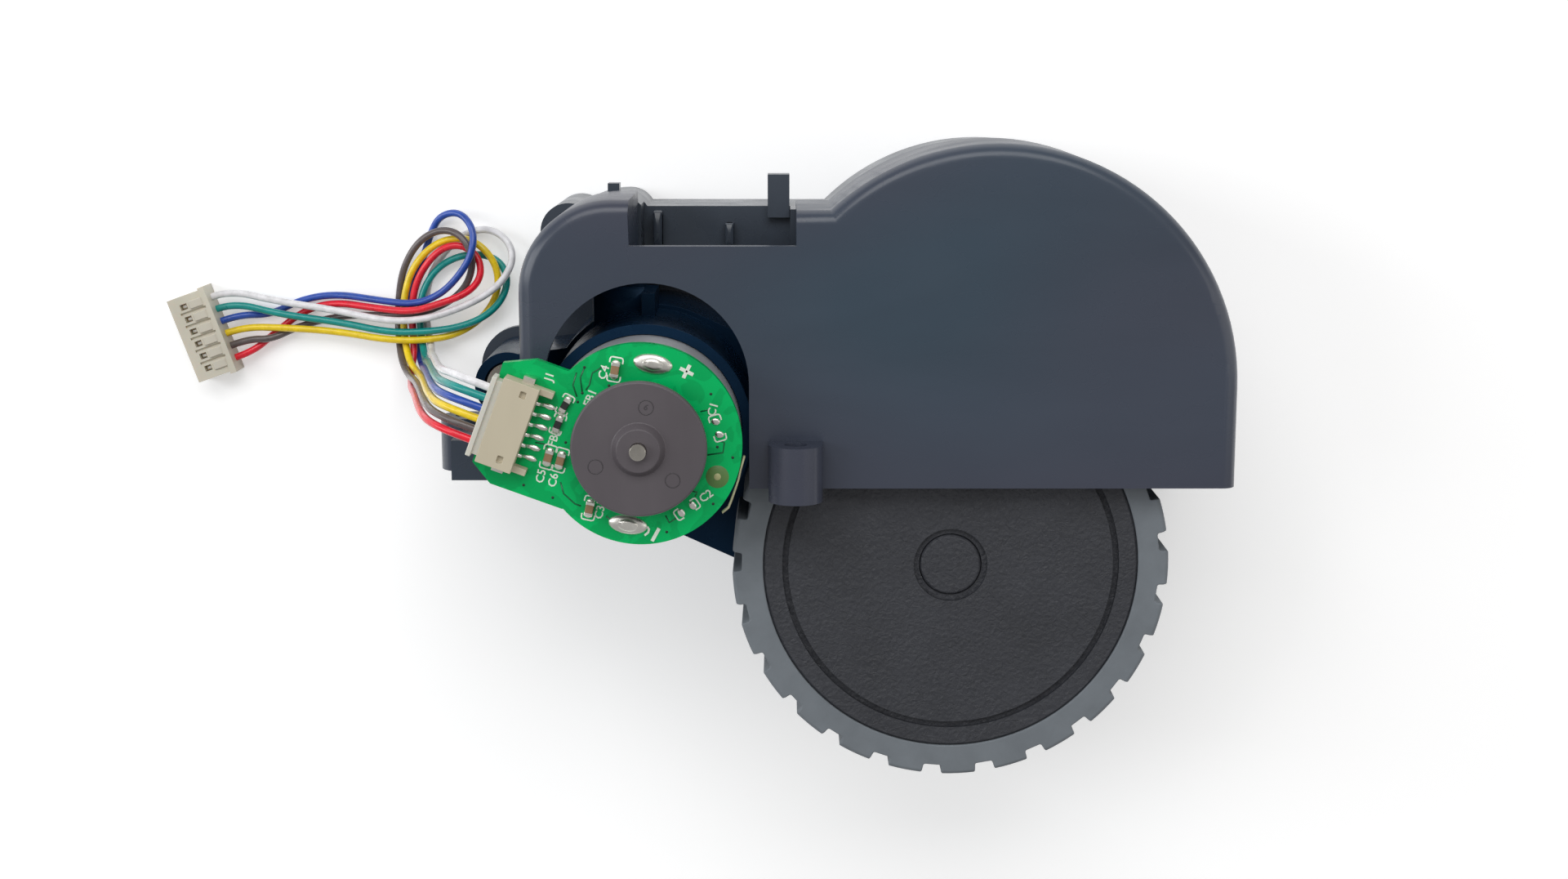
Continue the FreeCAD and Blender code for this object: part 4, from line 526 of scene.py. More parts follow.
# %% Finishes for metal and magnet pieces
ALONG, ALONG_SHAFT = (1.0, 1.0, 0.05), (1.0, 1.0, 0.08)
SCREWS = ("housing_screws", "case_screws", "motor_screws", "wheel_screw")
PINS = ("pivot_pin", "gear_axle_1", "gear_axle_2", "output_shaft", "motor_shaft")
TINNED = ("brush_terminals", "terminal_solder", "header_tabs", "header_pins", "far_contacts")
BRONZES = ("output_bushing_front", "output_bushing_rear", "motor_pinion")
metal("plated_steel", (0.62, 0.62, 0.63), 0.22, 0.42, "motor_can", stretch=ALONG)
moulded("ring_zinc", (0.46, 0.47, 0.49), 0.35, 0.5, "motor_flux_ring", Metallic=0.4)
zinc_screws = metal("zinc_screws", (0.66, 0.66, 0.65), 0.25, 0.4, *SCREWS)
ground_steel = metal(
    "ground_steel", (0.55, 0.52, 0.47), 0.2, 0.35, *PINS, stretch=ALONG_SHAFT
)
spring_steel = metal("spring_steel", (0.42, 0.43, 0.45), 0.25, 0.4, "suspension_spring")
tin = metal("tin", (0.90, 0.87, 0.81), 0.25, 0.42, *TINNED)
metal("sintered_bronze", (0.52, 0.36, 0.16), 0.4, 0.6, *BRONZES)
metal("armature_copper", (0.55, 0.24, 0.10), 0.3, 0.45, "motor_armature")
moulded("ferrite", (0.03, 0.03, 0.033), 0.5, 0.7, "motor_magnets")
disc_magnet = moulded("disc_magnet", (0.095, 0.083, 0.092), 0.34, 0.5, "encoder_disc")
chip_ceramic = moulded(
    "chip_ceramic", (0.28, 0.17, 0.09), 0.4, 0.55, "capacitors", "ferrite_beads"
)
chip_black = moulded("chip_black", (0.02, 0.02, 0.02), 0.35, 0.5, "hall_sensors")
print("finishes so far:", len(bpy.data.materials))

# %% [markdown]
# The wheel. Its hub is matt plastic from an etched mould, so the light breaks up on a fine
# leathery grain. The tyre is grey rubber, dry and a little chalky.

# %% Wheel finishes
HUB_BLACK = (0.034, 0.036, 0.044)
TYRE_GREY = (0.165, 0.185, 0.205)


def leather_grain():
    """Etched plastic: cells of about 0.7 mm broken up by noise, as bump and as sheen."""
    made = Finish("hub_grain", HUB_BLACK, 0.5)
    pebble = made.node("ShaderNodeTexVoronoi", {"Scale": 1500.0, "Randomness": 1.0})
    made.join(made.place(), pebble.inputs["Vector"])
    made.bump(made.noise(1100.0, 5.0, 0.65, warp=1.2), 1.0, 0.26)
    made.bump(pebble.outputs["Distance"], 0.6, 0.12)
    made.shine(made.noise(420.0, 4.0), 0.34, 0.56)
    made.mottle(made.noise(90.0, 4.0, 0.6), 0.85, 1.2)
    return made


def tread_rubber():
    """Grey rubber: chalky mottling, and a dry, very fine surface."""
    made = Finish("tread_rubber", TYRE_GREY, 0.7)
    made.mottle(made.noise(130.0, 5.0, 0.6), 0.9, 1.14)
    made.shine(made.noise(600.0, 3.0), 0.58, 0.82)
    made.bump(made.noise(1900.0, 4.0, 0.6), 0.3, 0.03)
    return made


hub_grain = leather_grain()
tread_grey = tread_rubber()
dress(hub_grain, "wheel_hub", "hub_cap")
dress(tread_grey, "tyre")

# %% [markdown]
# The encoder board: glass fibre under green solder mask. Copper shows through the mask as
# slightly lighter or darker areas, and the mask itself is glossy.

# %% Board finish
MASK_GREEN = (0.001, 0.48, 0.125)


def solder_mask():
    """Green lacquer with darker areas that have a clear edge: the span of the noise is
    narrow, so it steps from one tone to the other."""
    made = Finish("solder_mask", MASK_GREEN, 0.28, Specular_IOR_Level=0.18)
    edge = made.span(made.noise(210.0, 2.0, 0.4, warp=1.5), start=0.49, end=0.515)
    made.paint(made.blend(edge, shade(MASK_GREEN, 0.84), MASK_GREEN))
    made.shine(made.noise(500.0, 3.0), 0.22, 0.36)
    made.bump(made.noise(1500.0, 3.0), 0.2, 0.02)
    return made


dress(solder_mask(), "encoder_board")

# %% [markdown]
# New pieces. Each is a mesh that rides on a body and has a finish. One helper does it all.

# %% One helper for new pieces
WELD = 1e-7
SHARP_BLOCK, SHARP_DOME = 40.0, 60.0


def add_piece(name, shape, body, finish, slot, sharp=None, smooth=True):
    """A piece from a shape, which is points in mm and faces. Where an angle in degrees is
    given, sharper edges keep an edge in their shading."""
    points, faces = shape
    spots = np.asarray(points, float).reshape(-1, 3) * MM
    corners = np.asarray(faces, int).tolist()
    piece = add_object(name, outward_mesh(name, spots, corners, WELD, smooth=smooth), body)
    if sharp:
        piece.data.set_sharp_from_angle(angle=math.radians(sharp))
    dress(finish, piece)
    return piece


# %% [markdown]
# The wires. Six thin PVC leads leave the plug on the board, drop over its edge to the table
# and lie there in a loose loop, up to the white connector. Each is a smooth curve that is
# drawn towards a handful of points; the points are the same ones that shape its solid.
# They are listed from the far connector to the board, the way they were laid out,
# and turned round when the curve is made, because a cord starts at its exit.

# %% Places along the two connectors
WIRE_COUNT, WIRE_WIDTH = 6, 1.1


def beside(centre, angle, across, lengthwise):
    """A point in a connector's own directions: lengthwise along its row, across out of it."""
    turn = math.radians(angle)
    x = centre[0] + across * math.sin(turn) + lengthwise * math.cos(turn)
    y = centre[1] - across * math.cos(turn) + lengthwise * math.sin(turn)
    return x, y


def row_places(pitch):
    """How far each wire is from its connector's middle, along the row."""
    return pitch * (np.arange(WIRE_COUNT) - (WIRE_COUNT - 1) / 2.0)


FAR_CENTRE, FAR_ANGLE, FAR_PITCH, FAR_FACE, FAR_Z = (-49.0, 5.27), 109.5, 2.0, 3.1, 2.4
HEADER_CENTRE, HEADER_ANGLE, PIN_PITCH, PLUG_BACK, WIRE_Z = (3.9, -0.36), 69.5, 1.5, -4.0, 52.8
FAR_LEAD, PLUG_LEAD = 3.0, 3.3

# %% [markdown]
# The far connector's face: a raised tongue beside each of its six windows, and in each
# window the tinned lance of a contact.

# %% Far connector face
TONGUE, TONGUE_ACROSS, TONGUE_FOOT = (1.3, 2.3, 0.35), 1.15, 4.75
LANCE, LANCE_ACROSS, LANCE_FOOT = (0.6, 0.85, 0.9), -0.9, 3.2
TONGUE_SOFT, LANCE_SOFT = 0.12, 0.14


def along_far(across, size, z, soft):
    """Six softened blocks in a row along the far connector, one for each wire."""
    places = [beside(FAR_CENTRE, FAR_ANGLE, across, row) for row in row_places(FAR_PITCH)]
    return joined([pillow(place, FAR_ANGLE, z, *size, soft) for place in places])


tongue_row = along_far(TONGUE_ACROSS, TONGUE, TONGUE_FOOT, TONGUE_SOFT)
tongues = add_piece("far_tongues", tongue_row, "arm", far_nylon, "connector_nylon", SHARP_BLOCK)
lance_row = along_far(LANCE_ACROSS, LANCE, LANCE_FOOT, LANCE_SOFT)
lances = add_piece("far_lances", lance_row, "arm", tin, "tinned_metal", SHARP_BLOCK)
print("far connector:", WIRE_COUNT, "tongues and lances")

# %% Wire routes, points in mm
wire_routes = {
    "white": [
        (-38.2, 10.4, 2.3), (-28.6, 8.9, 2.3), (-20.5, 7.4, 4.1), (-14.8, 7.7, 4.4),
        (-9.6, 9.3, 4.4), (-5.2, 11.4, 4.2), (-2.3, 13.9, 4.1), (-0.8, 17.2, 3.6),
        (-2.1, 20.2, 2.6), (-5.4, 21.6, 1.2), (-9.0, 20.5, 0.6), (-12.2, 17.6, 0.6),
        (-14.4, 13.8, 0.6), (-15.1, 9.8, 0.6), (-14.9, 6.2, 0.6), (-14.1, 3.3, 2.2),
        (-13.5, 2.5, 6.2), (-12.6, 3.8, 12.8), (-10.4, 4.6, 23.6), (-7.6, 5.3, 38.0),
        (-5.6, 5.9, 46.2), (-4.0, 6.2, 50.2),
    ],
    "teal": [
        (-37.5, 8.3, 2.3), (-28.0, 7.0, 2.1), (-20.5, 5.6, 3.4), (-14.8, 5.7, 3.5),
        (-9.8, 6.3, 3.2), (-5.6, 7.9, 2.95), (-2.8, 10.6, 2.7), (-1.9, 13.9, 2.1),
        (-3.4, 16.7, 1.75), (-6.7, 17.7, 1.75), (-10.4, 17.0, 1.75), (-13.4, 15.0, 1.75),
        (-15.4, 11.6, 1.75), (-15.9, 7.8, 1.75), (-15.6, 4.4, 1.8), (-15.0, 2.0, 3.6),
        (-14.2, 1.5, 6.8), (-13.1, 2.6, 12.8), (-10.9, 3.4, 23.6), (-8.1, 4.1, 38.0),
        (-6.2, 4.6, 46.2), (-4.7, 4.8, 50.2),
    ],
    "blue": [
        (-39.2, 8.0, 0.6), (-34.4, 10.4, 0.6), (-28.9, 11.3, 0.6), (-22.0, 10.5, 2.6),
        (-16.5, 9.9, 3.5), (-12.2, 11.5, 4.3), (-9.0, 14.6, 5.5), (-6.9, 18.0, 6.0),
        (-6.7, 21.6, 4.8), (-9.0, 24.2, 3.0), (-12.4, 23.5, 1.4), (-14.1, 20.4, 0.6),
        (-15.3, 16.6, 0.6), (-16.9, 12.6, 0.6), (-17.6, 8.6, 0.6), (-17.0, 4.6, 0.6),
        (-16.2, 1.8, 1.2), (-15.3, 0.2, 3.6), (-14.5, 0.4, 7.0), (-13.6, 1.5, 12.8),
        (-11.4, 2.3, 23.6), (-8.6, 2.9, 38.0), (-6.8, 3.4, 46.2), (-5.3, 3.4, 50.2),
    ],
    "yellow": [
        (-36.5, 6.2, 2.5), (-28.5, 5.6, 2.1), (-20.5, 4.4, 3.5), (-14.8, 4.4, 3.4),
        (-10.4, 5.0, 2.4), (-6.6, 7.2, 1.7), (-4.2, 10.2, 1.6), (-3.3, 13.8, 2.5),
        (-4.2, 17.2, 3.2), (-7.1, 19.9, 2.9), (-10.9, 20.1, 2.2), (-14.3, 18.4, 1.75),
        (-17.0, 15.0, 1.75), (-18.25, 10.8, 1.75), (-18.4, 6.8, 1.75), (-18.1, 3.6, 2.2),
        (-17.2, 1.2, 4.3), (-15.6, 0.0, 7.2), (-14.3, 0.5, 12.8), (-12.0, 1.2, 23.6),
        (-9.2, 1.8, 38.0), (-7.3, 2.2, 46.2), (-5.9, 2.1, 50.2),
    ],
    "brown": [
        (-38.8, 4.4, 2.5), (-35.0, 6.2, 0.6), (-28.4, 7.9, 0.6), (-21.5, 8.2, 2.6),
        (-16.4, 8.3, 3.3), (-12.2, 9.6, 3.1), (-9.0, 11.8, 3.2), (-7.3, 14.8, 3.9),
        (-7.1, 18.2, 4.75), (-9.2, 21.1, 4.0), (-12.6, 21.4, 2.4), (-15.9, 19.4, 1.75),
        (-18.3, 15.4, 1.1), (-19.2, 11.0, 0.6), (-19.4, 7.0, 0.6), (-19.2, 3.6, 1.4),
        (-18.4, 0.9, 3.8), (-16.8, -0.7, 7.2), (-15.1, -0.4, 12.8), (-12.7, 0.2, 23.6),
        (-9.8, 0.7, 38.0), (-7.9, 1.0, 46.2), (-6.4, 0.8, 50.2),
    ],
    "red": [
        (-39.0, 4.9, 0.6), (-33.9, 8.8, 0.6), (-29.0, 10.0, 0.6), (-22.5, 9.3, 2.8),
        (-16.6, 8.9, 4.6), (-12.2, 10.2, 4.7), (-8.1, 11.7, 4.55), (-5.9, 14.0, 4.1),
        (-6.1, 17.0, 3.4), (-8.5, 19.1, 3.2), (-11.7, 18.8, 3.0), (-14.4, 16.3, 2.6),
        (-16.4, 12.8, 1.9), (-17.05, 9.0, 1.75), (-16.95, 5.6, 1.75), (-16.8, 2.4, 2.1),
        (-17.1, -0.3, 3.6), (-16.6, -1.9, 6.9), (-15.6, -1.7, 12.8), (-13.3, -0.9, 23.6),
        (-10.5, -0.4, 38.0), (-8.6, -0.2, 46.2), (-7.1, -0.5, 50.2),
    ],
}

# %% Wire curves
WIRE_COLOURS = {
    "white": (0.84, 0.83, 0.85),
    "teal": (0.0, 0.30, 0.27),
    "blue": (0.016, 0.075, 0.42),
    "yellow": (0.95, 0.66, 0.01),
    "brown": (0.115, 0.09, 0.088),
    "red": (0.86, 0.008, 0.03),
}


def insulation(name, colour):
    """Shiny PVC, a little cloudy, with a very fine ripple from the extruder."""
    made = Finish("pvc_" + name, colour, 0.3, Coat_Weight=0.4, Coat_Roughness=0.15)
    made.mottle(made.noise(900.0, 3.0), 0.86, 1.1)
    made.shine(made.noise(1400.0, 3.0), 0.24, 0.42)
    made.bump(made.noise(2200.0, 3.0), 0.2, 0.02)
    return made


def wire_points(name, index):
    """The route with its straight leads out of both connectors, from plug to far end."""
    row = (WIRE_COUNT - 1) / 2.0 - index
    far = [
        (*beside(FAR_CENTRE, FAR_ANGLE, FAR_FACE + lead, FAR_PITCH * row), FAR_Z)
        for lead in (0.0, FAR_LEAD)
    ]
    plug = [
        (*beside(HEADER_CENTRE, HEADER_ANGLE, PLUG_BACK - lead, PIN_PITCH * row), WIRE_Z)
        for lead in (PLUG_LEAD, 0.0)
    ]
    return (far + list(wire_routes[name]) + plug)[::-1]


def loose_wire(name, points):
    """A round wire on a smooth spline of order 3 that is pulled towards the points. Its
    thickness is the bevel's 1 m times each point's radius, so its box is the wire's own."""
    curve = bpy.data.curves.new("wire_" + name + "_line", "CURVE")
    curve.dimensions = "3D"
    curve.bevel_depth = 1.0
    curve.bevel_resolution = 5
    curve.resolution_u = 10
    curve.use_fill_caps = True
    spline = curve.splines.new("NURBS")
    spline.points.add(len(points) - 1)
    for target, point in zip(spline.points, points):
        target.co = (*(v * MM for v in point), 1.0)
        target.radius = WIRE_WIDTH / 2 * MM
    spline.order_u = 3
    spline.use_endpoint_u = True
    return add_object("lead_" + name, curve, "arm")


def drawn_length(curve_object):
    """The length of the spline itself, in metres, from the points Blender draws it with."""
    depth = curve_object.data.bevel_depth
    curve_object.data.bevel_depth = 0.0
    line = bpy.data.meshes.new_from_object(curve_object)
    steps = np.diff(points_of(line), axis=0)
    curve_object.data.bevel_depth = depth
    bpy.data.meshes.remove(line)
    return float(np.linalg.norm(steps, axis=1).sum())


for number, (name, colour) in enumerate(WIRE_COLOURS.items()):
    points = wire_points(name, number)
    wire = loose_wire(name, points)
    dress(insulation(name, colour), wire)
    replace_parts(wire, "wire_" + name)
    length = drawn_length(wire)
    print(name, "wire:", len(points), "points,", round(length / MM, 1), "mm")

# %% [markdown]
# Mould edges. A solid model has knife edges, a moulding never does, and it is the thin
# bright line along a rounded edge that makes plastic look moulded. Each visible moulding is
# copied: its split corners are welded, its flat triangles joined into whole faces, and a
# small bevel rounds the edges. The copy then stands for the solid.

# %% Softened copies of the mouldings
EDGE_ANGLE, EDGE_STEPS = math.radians(32.0), 2
SPLIT_GAP, FLAT_ANGLE = 3e-6, math.radians(0.6)


def softened(node, body, finish, slot, width_mm):
    """A copy of a node whose edges sharper than EDGE_ANGLE are rounded by a width in mm."""
    source = nodes[node].data
    name = node + "_soft"
    faces = [tuple(face.vertices) for face in source.polygons]
    mesh = outward_mesh(name, points_of(source), faces, SPLIT_GAP, FLAT_ANGLE)
    mesh.set_sharp_from_angle(angle=EDGE_ANGLE)
    copy = add_object(name, mesh, body)
    rounding = copy.modifiers.new("rounding", "BEVEL")
    rounding.width = width_mm * MM
    rounding.segments = EDGE_STEPS
    rounding.limit_method = "ANGLE"
    rounding.angle_limit = EDGE_ANGLE
    rounding.miter_outer = "MITER_ARC"
    rounding.harden_normals = True
    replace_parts(copy, node)
    dress(finish, copy)
    return name


SOFT_NODES = [  # node, body, finish, slot, width of the rounding in mm
    ("outer_housing", "housing", housing_abs, "housing_plastic", 0.28),
    ("inner_frame", "housing", frame_abs, "frame_plastic", 0.2),
    ("gear_case_front", "arm", case_abs, "case_plastic", 0.2),
    ("gear_case_rear", "arm", case_abs, "case_plastic", 0.2),
    ("wheel_hub", "wheel", hub_grain, "hub_plastic", 0.15),
    ("hub_cap", "wheel", hub_grain, "hub_plastic", 0.15),
    ("tyre", "wheel", tread_grey, "tyre_rubber", 0.22),
    ("board_header", "arm", header_nylon, "header_nylon", 0.1),
    ("wire_plug", "arm", plug_nylon, "connector_nylon", 0.12),
    ("encoder_disc", "rotor", disc_magnet, "disc_magnet", 0.12),
]
print("softened:", [softened(*row) for row in SOFT_NODES])

# %% [markdown]
# Screws. A head is a shallow dome over a polar grid; where the grid point falls inside a
# cross of two slots it is pushed down. The thread is a grid too: its radius rises and falls
# with z / pitch - a / 2 pi, so each ridge climbs one pitch a turn.

# %% Screw shapes
HEAD_STEPS, DOME_RINGS = 72, 16
THREAD_STEPS, ROWS_PER_PITCH = 28, 10
CROSS_WIDTH, CROSS_REACH = 0.15, 0.62


def screw_head(centre, seat, radius, height):
    """A pan head that hangs from its seat. Its dome is h (0.55 + 0.45 sqrt(1 - 0.98 r r)),
    and the cross is where it is nearer to an axis than CROSS_WIDTH of the radius."""
    r = np.linspace(1.0, 0.0, DOME_RINGS)
    dome = np.stack([radius * r, height * (0.55 + 0.45 * np.sqrt(1 - 0.98 * r * r))], -1)
    profile = np.concatenate([[(0.0, 0.0), (radius, 0.0), (radius, height * 0.5)], dome])
    points, faces = lathed(profile, (0.0, 0.0), HEAD_STEPS)
    x, y = np.abs(points[:, 0]), np.abs(points[:, 1])
    near, far = np.minimum(x, y), np.maximum(x, y)
    inside = np.clip((radius * CROSS_WIDTH - near) / (radius * 0.05), 0.0, 1.0)
    inside = inside * np.clip((radius * CROSS_REACH - far) / (radius * 0.08), 0.0, 1.0)
    crown = points[:, 2] > height * 0.52
    points[:, 2] -= crown * inside * height * 0.5 * (1.2 - far / radius)
    points[:, 2] = seat - points[:, 2]
    points[:, :2] += centre
    return points, faces


def screw_thread(centre, low, high, core, crest, pitch):
    """A threaded shank; the ridge is r = core + (crest - core) (1 - |2 f - 1|), where f is
    the fraction of z / pitch - a / 2 pi."""
    rows = int((high - low) / pitch * ROWS_PER_PITCH) + 1
    z = np.linspace(low, high, rows)[:, None]
    angle = np.linspace(0.0, 2 * np.pi, THREAD_STEPS, endpoint=False)[None, :]
    turn = (z / pitch - angle / (2 * np.pi)) % 1.0
    fade = np.clip((z - low) / pitch, 0.0, 1.0) * np.clip((high - z) / pitch, 0.0, 1.0)
    r = core + (crest - core) * (1.0 - np.abs(2.0 * turn - 1.0)) * fade
    x, y = centre[0] + r * np.cos(angle), centre[1] + r * np.sin(angle)
    grid = np.stack([x, y, np.broadcast_to(z, x.shape)], -1)
    tips = [np.broadcast_to([*centre, end], (1, THREAD_STEPS, 3)) for end in (low, high)]
    grid = np.concatenate([tips[0], grid, tips[1]])
    return grid.reshape(-1, 3), quads(len(grid), THREAD_STEPS, close_columns=True)


def solid_centres(node):
    """The middle, in mm, of each separate solid of a node, seen from above. Each solid is
    found by spreading along edges from one of its points."""
    shell = bmesh.new()
    shell.from_mesh(nodes[node].data)
    bmesh.ops.remove_doubles(shell, verts=shell.verts, dist=SPLIT_GAP)
    left = set(shell.verts)
    centres = []
    while left:
        group, edge = set(), {left.pop()}
        while edge:
            group |= edge
            edge = {e.other_vert(v) for v in edge for e in v.link_edges} - group
        left -= group
        spots = np.array([v.co[:] for v in group]) / MM
        centres.append(tuple((spots.min(0) + spots.max(0))[:2] / 2))
    shell.free()
    return sorted(centres)


def screw_set(name, body, node, radius, height, core, crest, pitch):
    """Equal screws as one piece that stands for a node. Their heads are at its low end."""
    low, high = (corner[2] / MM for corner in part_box(node))
    seat, places = low + height, solid_centres(node)
    shapes = []
    for place in places:
        shapes.append(screw_head(place, seat, radius, height))
        shapes.append(screw_thread(place, seat - 0.05, high - 0.1, core, crest, pitch))
    screws = add_piece(name, joined(shapes), body, zinc_screws, "zinc_screw", 38.0)
    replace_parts(screws, node)
    print(name, "at, mm:", [tuple(round(float(v), 1) for v in place) for place in places])


screw_set("housing_screw_pair", "housing", "housing_screws", 2.5, 2.0, 0.8, 1.02, 0.8)
screw_set("case_screw_four", "arm", "case_screws", 1.7, 0.9, 0.78, 1.0, 0.6)

# %% [markdown]
# The encoder board. Everything on it sits on its upper face. Soldered joints are low wet
# domes, chips are a ceramic body with tinned ends, and the white marks are printed ink,
# a few hundredths of a millimetre thick.

# %% Board heights and small shapes
BOARD_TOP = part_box("encoder_board")[1][2] / MM
DISC_COLLAR = 1.2
DISC_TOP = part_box("encoder_disc")[1][2] / MM - DISC_COLLAR
MOTOR = (21.3, -3.5)
ink = moulded("board_ink", (0.74, 0.80, 0.70), 0.5, 0.7)
mask_dark = moulded("mask_dark", (0.003, 0.13, 0.045), 0.25, 0.4)
# Near black for the vias: painted shade of their holes.
via_hole_shade = moulded("via_hole_shade", (0.004, 0.035, 0.015), 0.4, 0.6)
glass_edge = moulded("glass_edge", (0.42, 0.40, 0.25), 0.6, 0.85)


def mound(centre, angle, length, width, height, power=2.4, steps=40, rings=12):
    """A wet dome of solder on an oval foot: z = h (1 - r^p)^(1/2)."""
    r = np.linspace(0.0, 1.0, rings)[:, None]
    a = np.linspace(0.0, 2 * np.pi, steps, endpoint=False)[None, :]
    x, y = r * np.cos(a) * length / 2, r * np.sin(a) * width / 2
    z = height * np.sqrt(np.clip(1.0 - r**power, 0.0, 1.0)) + 0.0 * a
    top = np.stack([x, y, z], -1)
    foot = np.zeros((1, steps, 3))
    grid = np.concatenate([top, foot]).reshape(-1, 3)
    return turned(grid, centre, angle, BOARD_TOP), quads(rings + 1, steps, close_columns=True)


# %% [markdown]
# Chips. Four tan ceramic capacitors and two black ferrite beads stand beside the disc. The
# two places by the right edge carry only tinned pads, as on the photographed board.

# %% Chips and pads
CHIPS = [(18.05, 6.69, 80.0), (14.37, -12.19, 78.0), (8.94, -5.18, 74.0), (10.55, -5.61, 74.0)]
BEADS = [(11.3, 1.9, 60.0), (10.3, -0.7, 68.0)]
PADS = [(31.44, -0.36, 80.0), (31.94, -2.11, 80.0), (26.74, -12.85, 35.0), (28.29, -11.84, 35.0)]
CAPACITOR, BEAD = (2.0, 1.15, 0.8, 0.5), (2.0, 1.0, 0.7, 0.55)
FOOT_REACH, BODY_LIFT, CAP_LIFT, SLIMMER = 1.22, 0.04, 0.02, 0.94
FOOT_LENGTH, FOOT_HEIGHT = 0.9, 0.42
PAD_SIZE = (1.25, 0.95, 0.22)


def chip_parts(x, y, angle, length, width, height, cap):
    """A ceramic body, a little slimmer than its two tinned ends, and a wet foot at each."""
    reach = (length - cap) / 2
    size = (length - cap, width * SLIMMER, height * SLIMMER)
    ends = []
    for end in (-reach, reach):
        line = [(end, 0.0, 0.0), (end * FOOT_REACH, 0.0, 0.0)]
        cap_place, foot_place = turned(line, (x, y), angle)[:, :2]
        ends.append(pillow(cap_place, angle, BOARD_TOP + CAP_LIFT, cap, width, height))
        ends.append(mound(foot_place, angle, FOOT_LENGTH, width * 1.05, FOOT_HEIGHT))
    return pillow((x, y), angle, BOARD_TOP + BODY_LIFT, *size), ends


CHIP_KINDS = [  # piece, node, places, size, finish and slot
    ("capacitor_bodies", "capacitors", CHIPS, CAPACITOR, chip_ceramic, "chip_ceramic"),
    ("bead_bodies", "ferrite_beads", BEADS, BEAD, chip_black, "chip_black"),
]
tinned = []
for name, node, places, size, finish, slot in CHIP_KINDS:
    bodies = []
    for place in places:
        body_part, ends = chip_parts(*place, *size)
        bodies.append(body_part)
        tinned += ends
    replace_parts(add_piece(name, joined(bodies), "arm", finish, slot, SHARP_BLOCK), node)
tinned += [mound((x, y), angle + 90.0, *PAD_SIZE) for x, y, angle in PADS]
add_piece("tinned_ends", joined(tinned), "arm", tin, "tinned_metal", SHARP_BLOCK)
print("chips:", len(CHIPS) + len(BEADS), "and bare pads:", len(PADS))

# %% [markdown]
# The two motor tabs come up through the board in big oval solder joints. The header's six
# pins come out of its side, bend down to the board and lie on it in small joints.

# %% Solder joints, tabs and bent header pins
JOINTS = [(23.1, 7.45, -9.5), (19.5, -14.45, -9.5)]
POOL, TAB = (5.3, 2.7, 0.66, 2.0, 56, 18), (3.3, 2.0, 0.86, 3.0, 48, 14)
joints = [mound((x, y), angle, *size) for size in (POOL, TAB) for x, y, angle in JOINTS]
solder = add_piece("solder_mounds", joined(joints), "arm", tin, "tinned_metal", SHARP_DOME)
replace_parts(solder, "terminal_solder")
# A pin's bend: how far out of the header, and how high above the board.
PIN_BEND = [(2.35, 1.02), (2.7, 1.02), (3.0, 0.9), (3.2, 0.45), (3.5, 0.16), (4.7, 0.14)]
PIN_WIDTH, PIN_THICK, PIN_STEPS, FOOT_ACROSS = 0.5, 0.26, 22, 4.25
PIN_FOOT = (0.78, 1.7, 0.2)
HEADER = (HEADER_CENTRE, HEADER_ANGLE)
feet = []
for row in row_places(PIN_PITCH):
    bend = [(*beside(*HEADER, across, row), BOARD_TOP + z) for across, z in PIN_BEND]
    order = np.linspace(0.0, len(bend) - 1.0, PIN_STEPS)
    path = [np.interp(order, np.arange(len(bend)), values) for values in zip(*bend)]
    feet.append(swept(np.stack(path, -1), PIN_WIDTH, PIN_THICK, 10))
    feet.append(mound(beside(*HEADER, FOOT_ACROSS, row), HEADER_ANGLE, *PIN_FOOT))
pins = add_piece("bent_pins", joined(feet), "arm", tin, "tinned_metal", SHARP_DOME)
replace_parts(pins, "header_pins")

# %% [markdown]
# Printed marks. Letters come from the built-in font, filled and given a little thickness,
# made a mesh, and then set down flat on the board. Lines are thin rods along listed points.

# %% Letters and lines
INK_RISE, INK_HALF_THICK, INK_WEIGHT = 0.012, 0.012, 0.015
INK_WIDTH, INK_THICK = 0.2, 0.03


def letters(text, x, y, angle, size, level=BOARD_TOP + INK_RISE):
    """Printed text as points and triangles, centred at (x, y) and read along an angle."""
    line = bpy.data.curves.new("ink_text", "FONT")
    line.body = text
    line.size = size
    line.extrude = INK_HALF_THICK
    line.offset = size * INK_WEIGHT
    line.resolution_u = 2
    line.align_x, line.align_y = "CENTER", "CENTER"
    holder = bpy.data.objects.new("ink_text", line)
    mesh = bpy.data.meshes.new_from_object(holder)
    mesh.calc_loop_triangles()
    triangles = np.array([t.vertices[:] for t in mesh.loop_triangles])
    spots = turned(points_of(mesh), (x, y), angle, level)
    bpy.data.objects.remove(holder)
    bpy.data.curves.remove(line)
    bpy.data.meshes.remove(mesh)
    return spots, triangles


def stroke(path, width=INK_WIDTH, z=BOARD_TOP + INK_RISE, thick=INK_THICK):
    """A drawn line on the board along given points."""
    return swept([(x, y, z) for x, y in path], width, thick, 6)


def bracket(x, y, angle, length, width):
    """The two rounded brackets printed round a chip: the given points of one's lower half,
    their mirror image above, and the same again on the other side."""
    a, b = length / 2, width / 2
    u = np.array([a - length * 0.24, a - 0.3, a - 0.08, a])
    v = np.array([-b, -b, 0.09 - b, 0.3 - b])
    hand = np.stack([[*u, *u[::-1]], [*v, *-v[::-1]], np.zeros(8)], -1)
    return [stroke(turned(hand * (side, 1, 1), (x, y), angle)[:, :2]) for side in (-1, 1)]


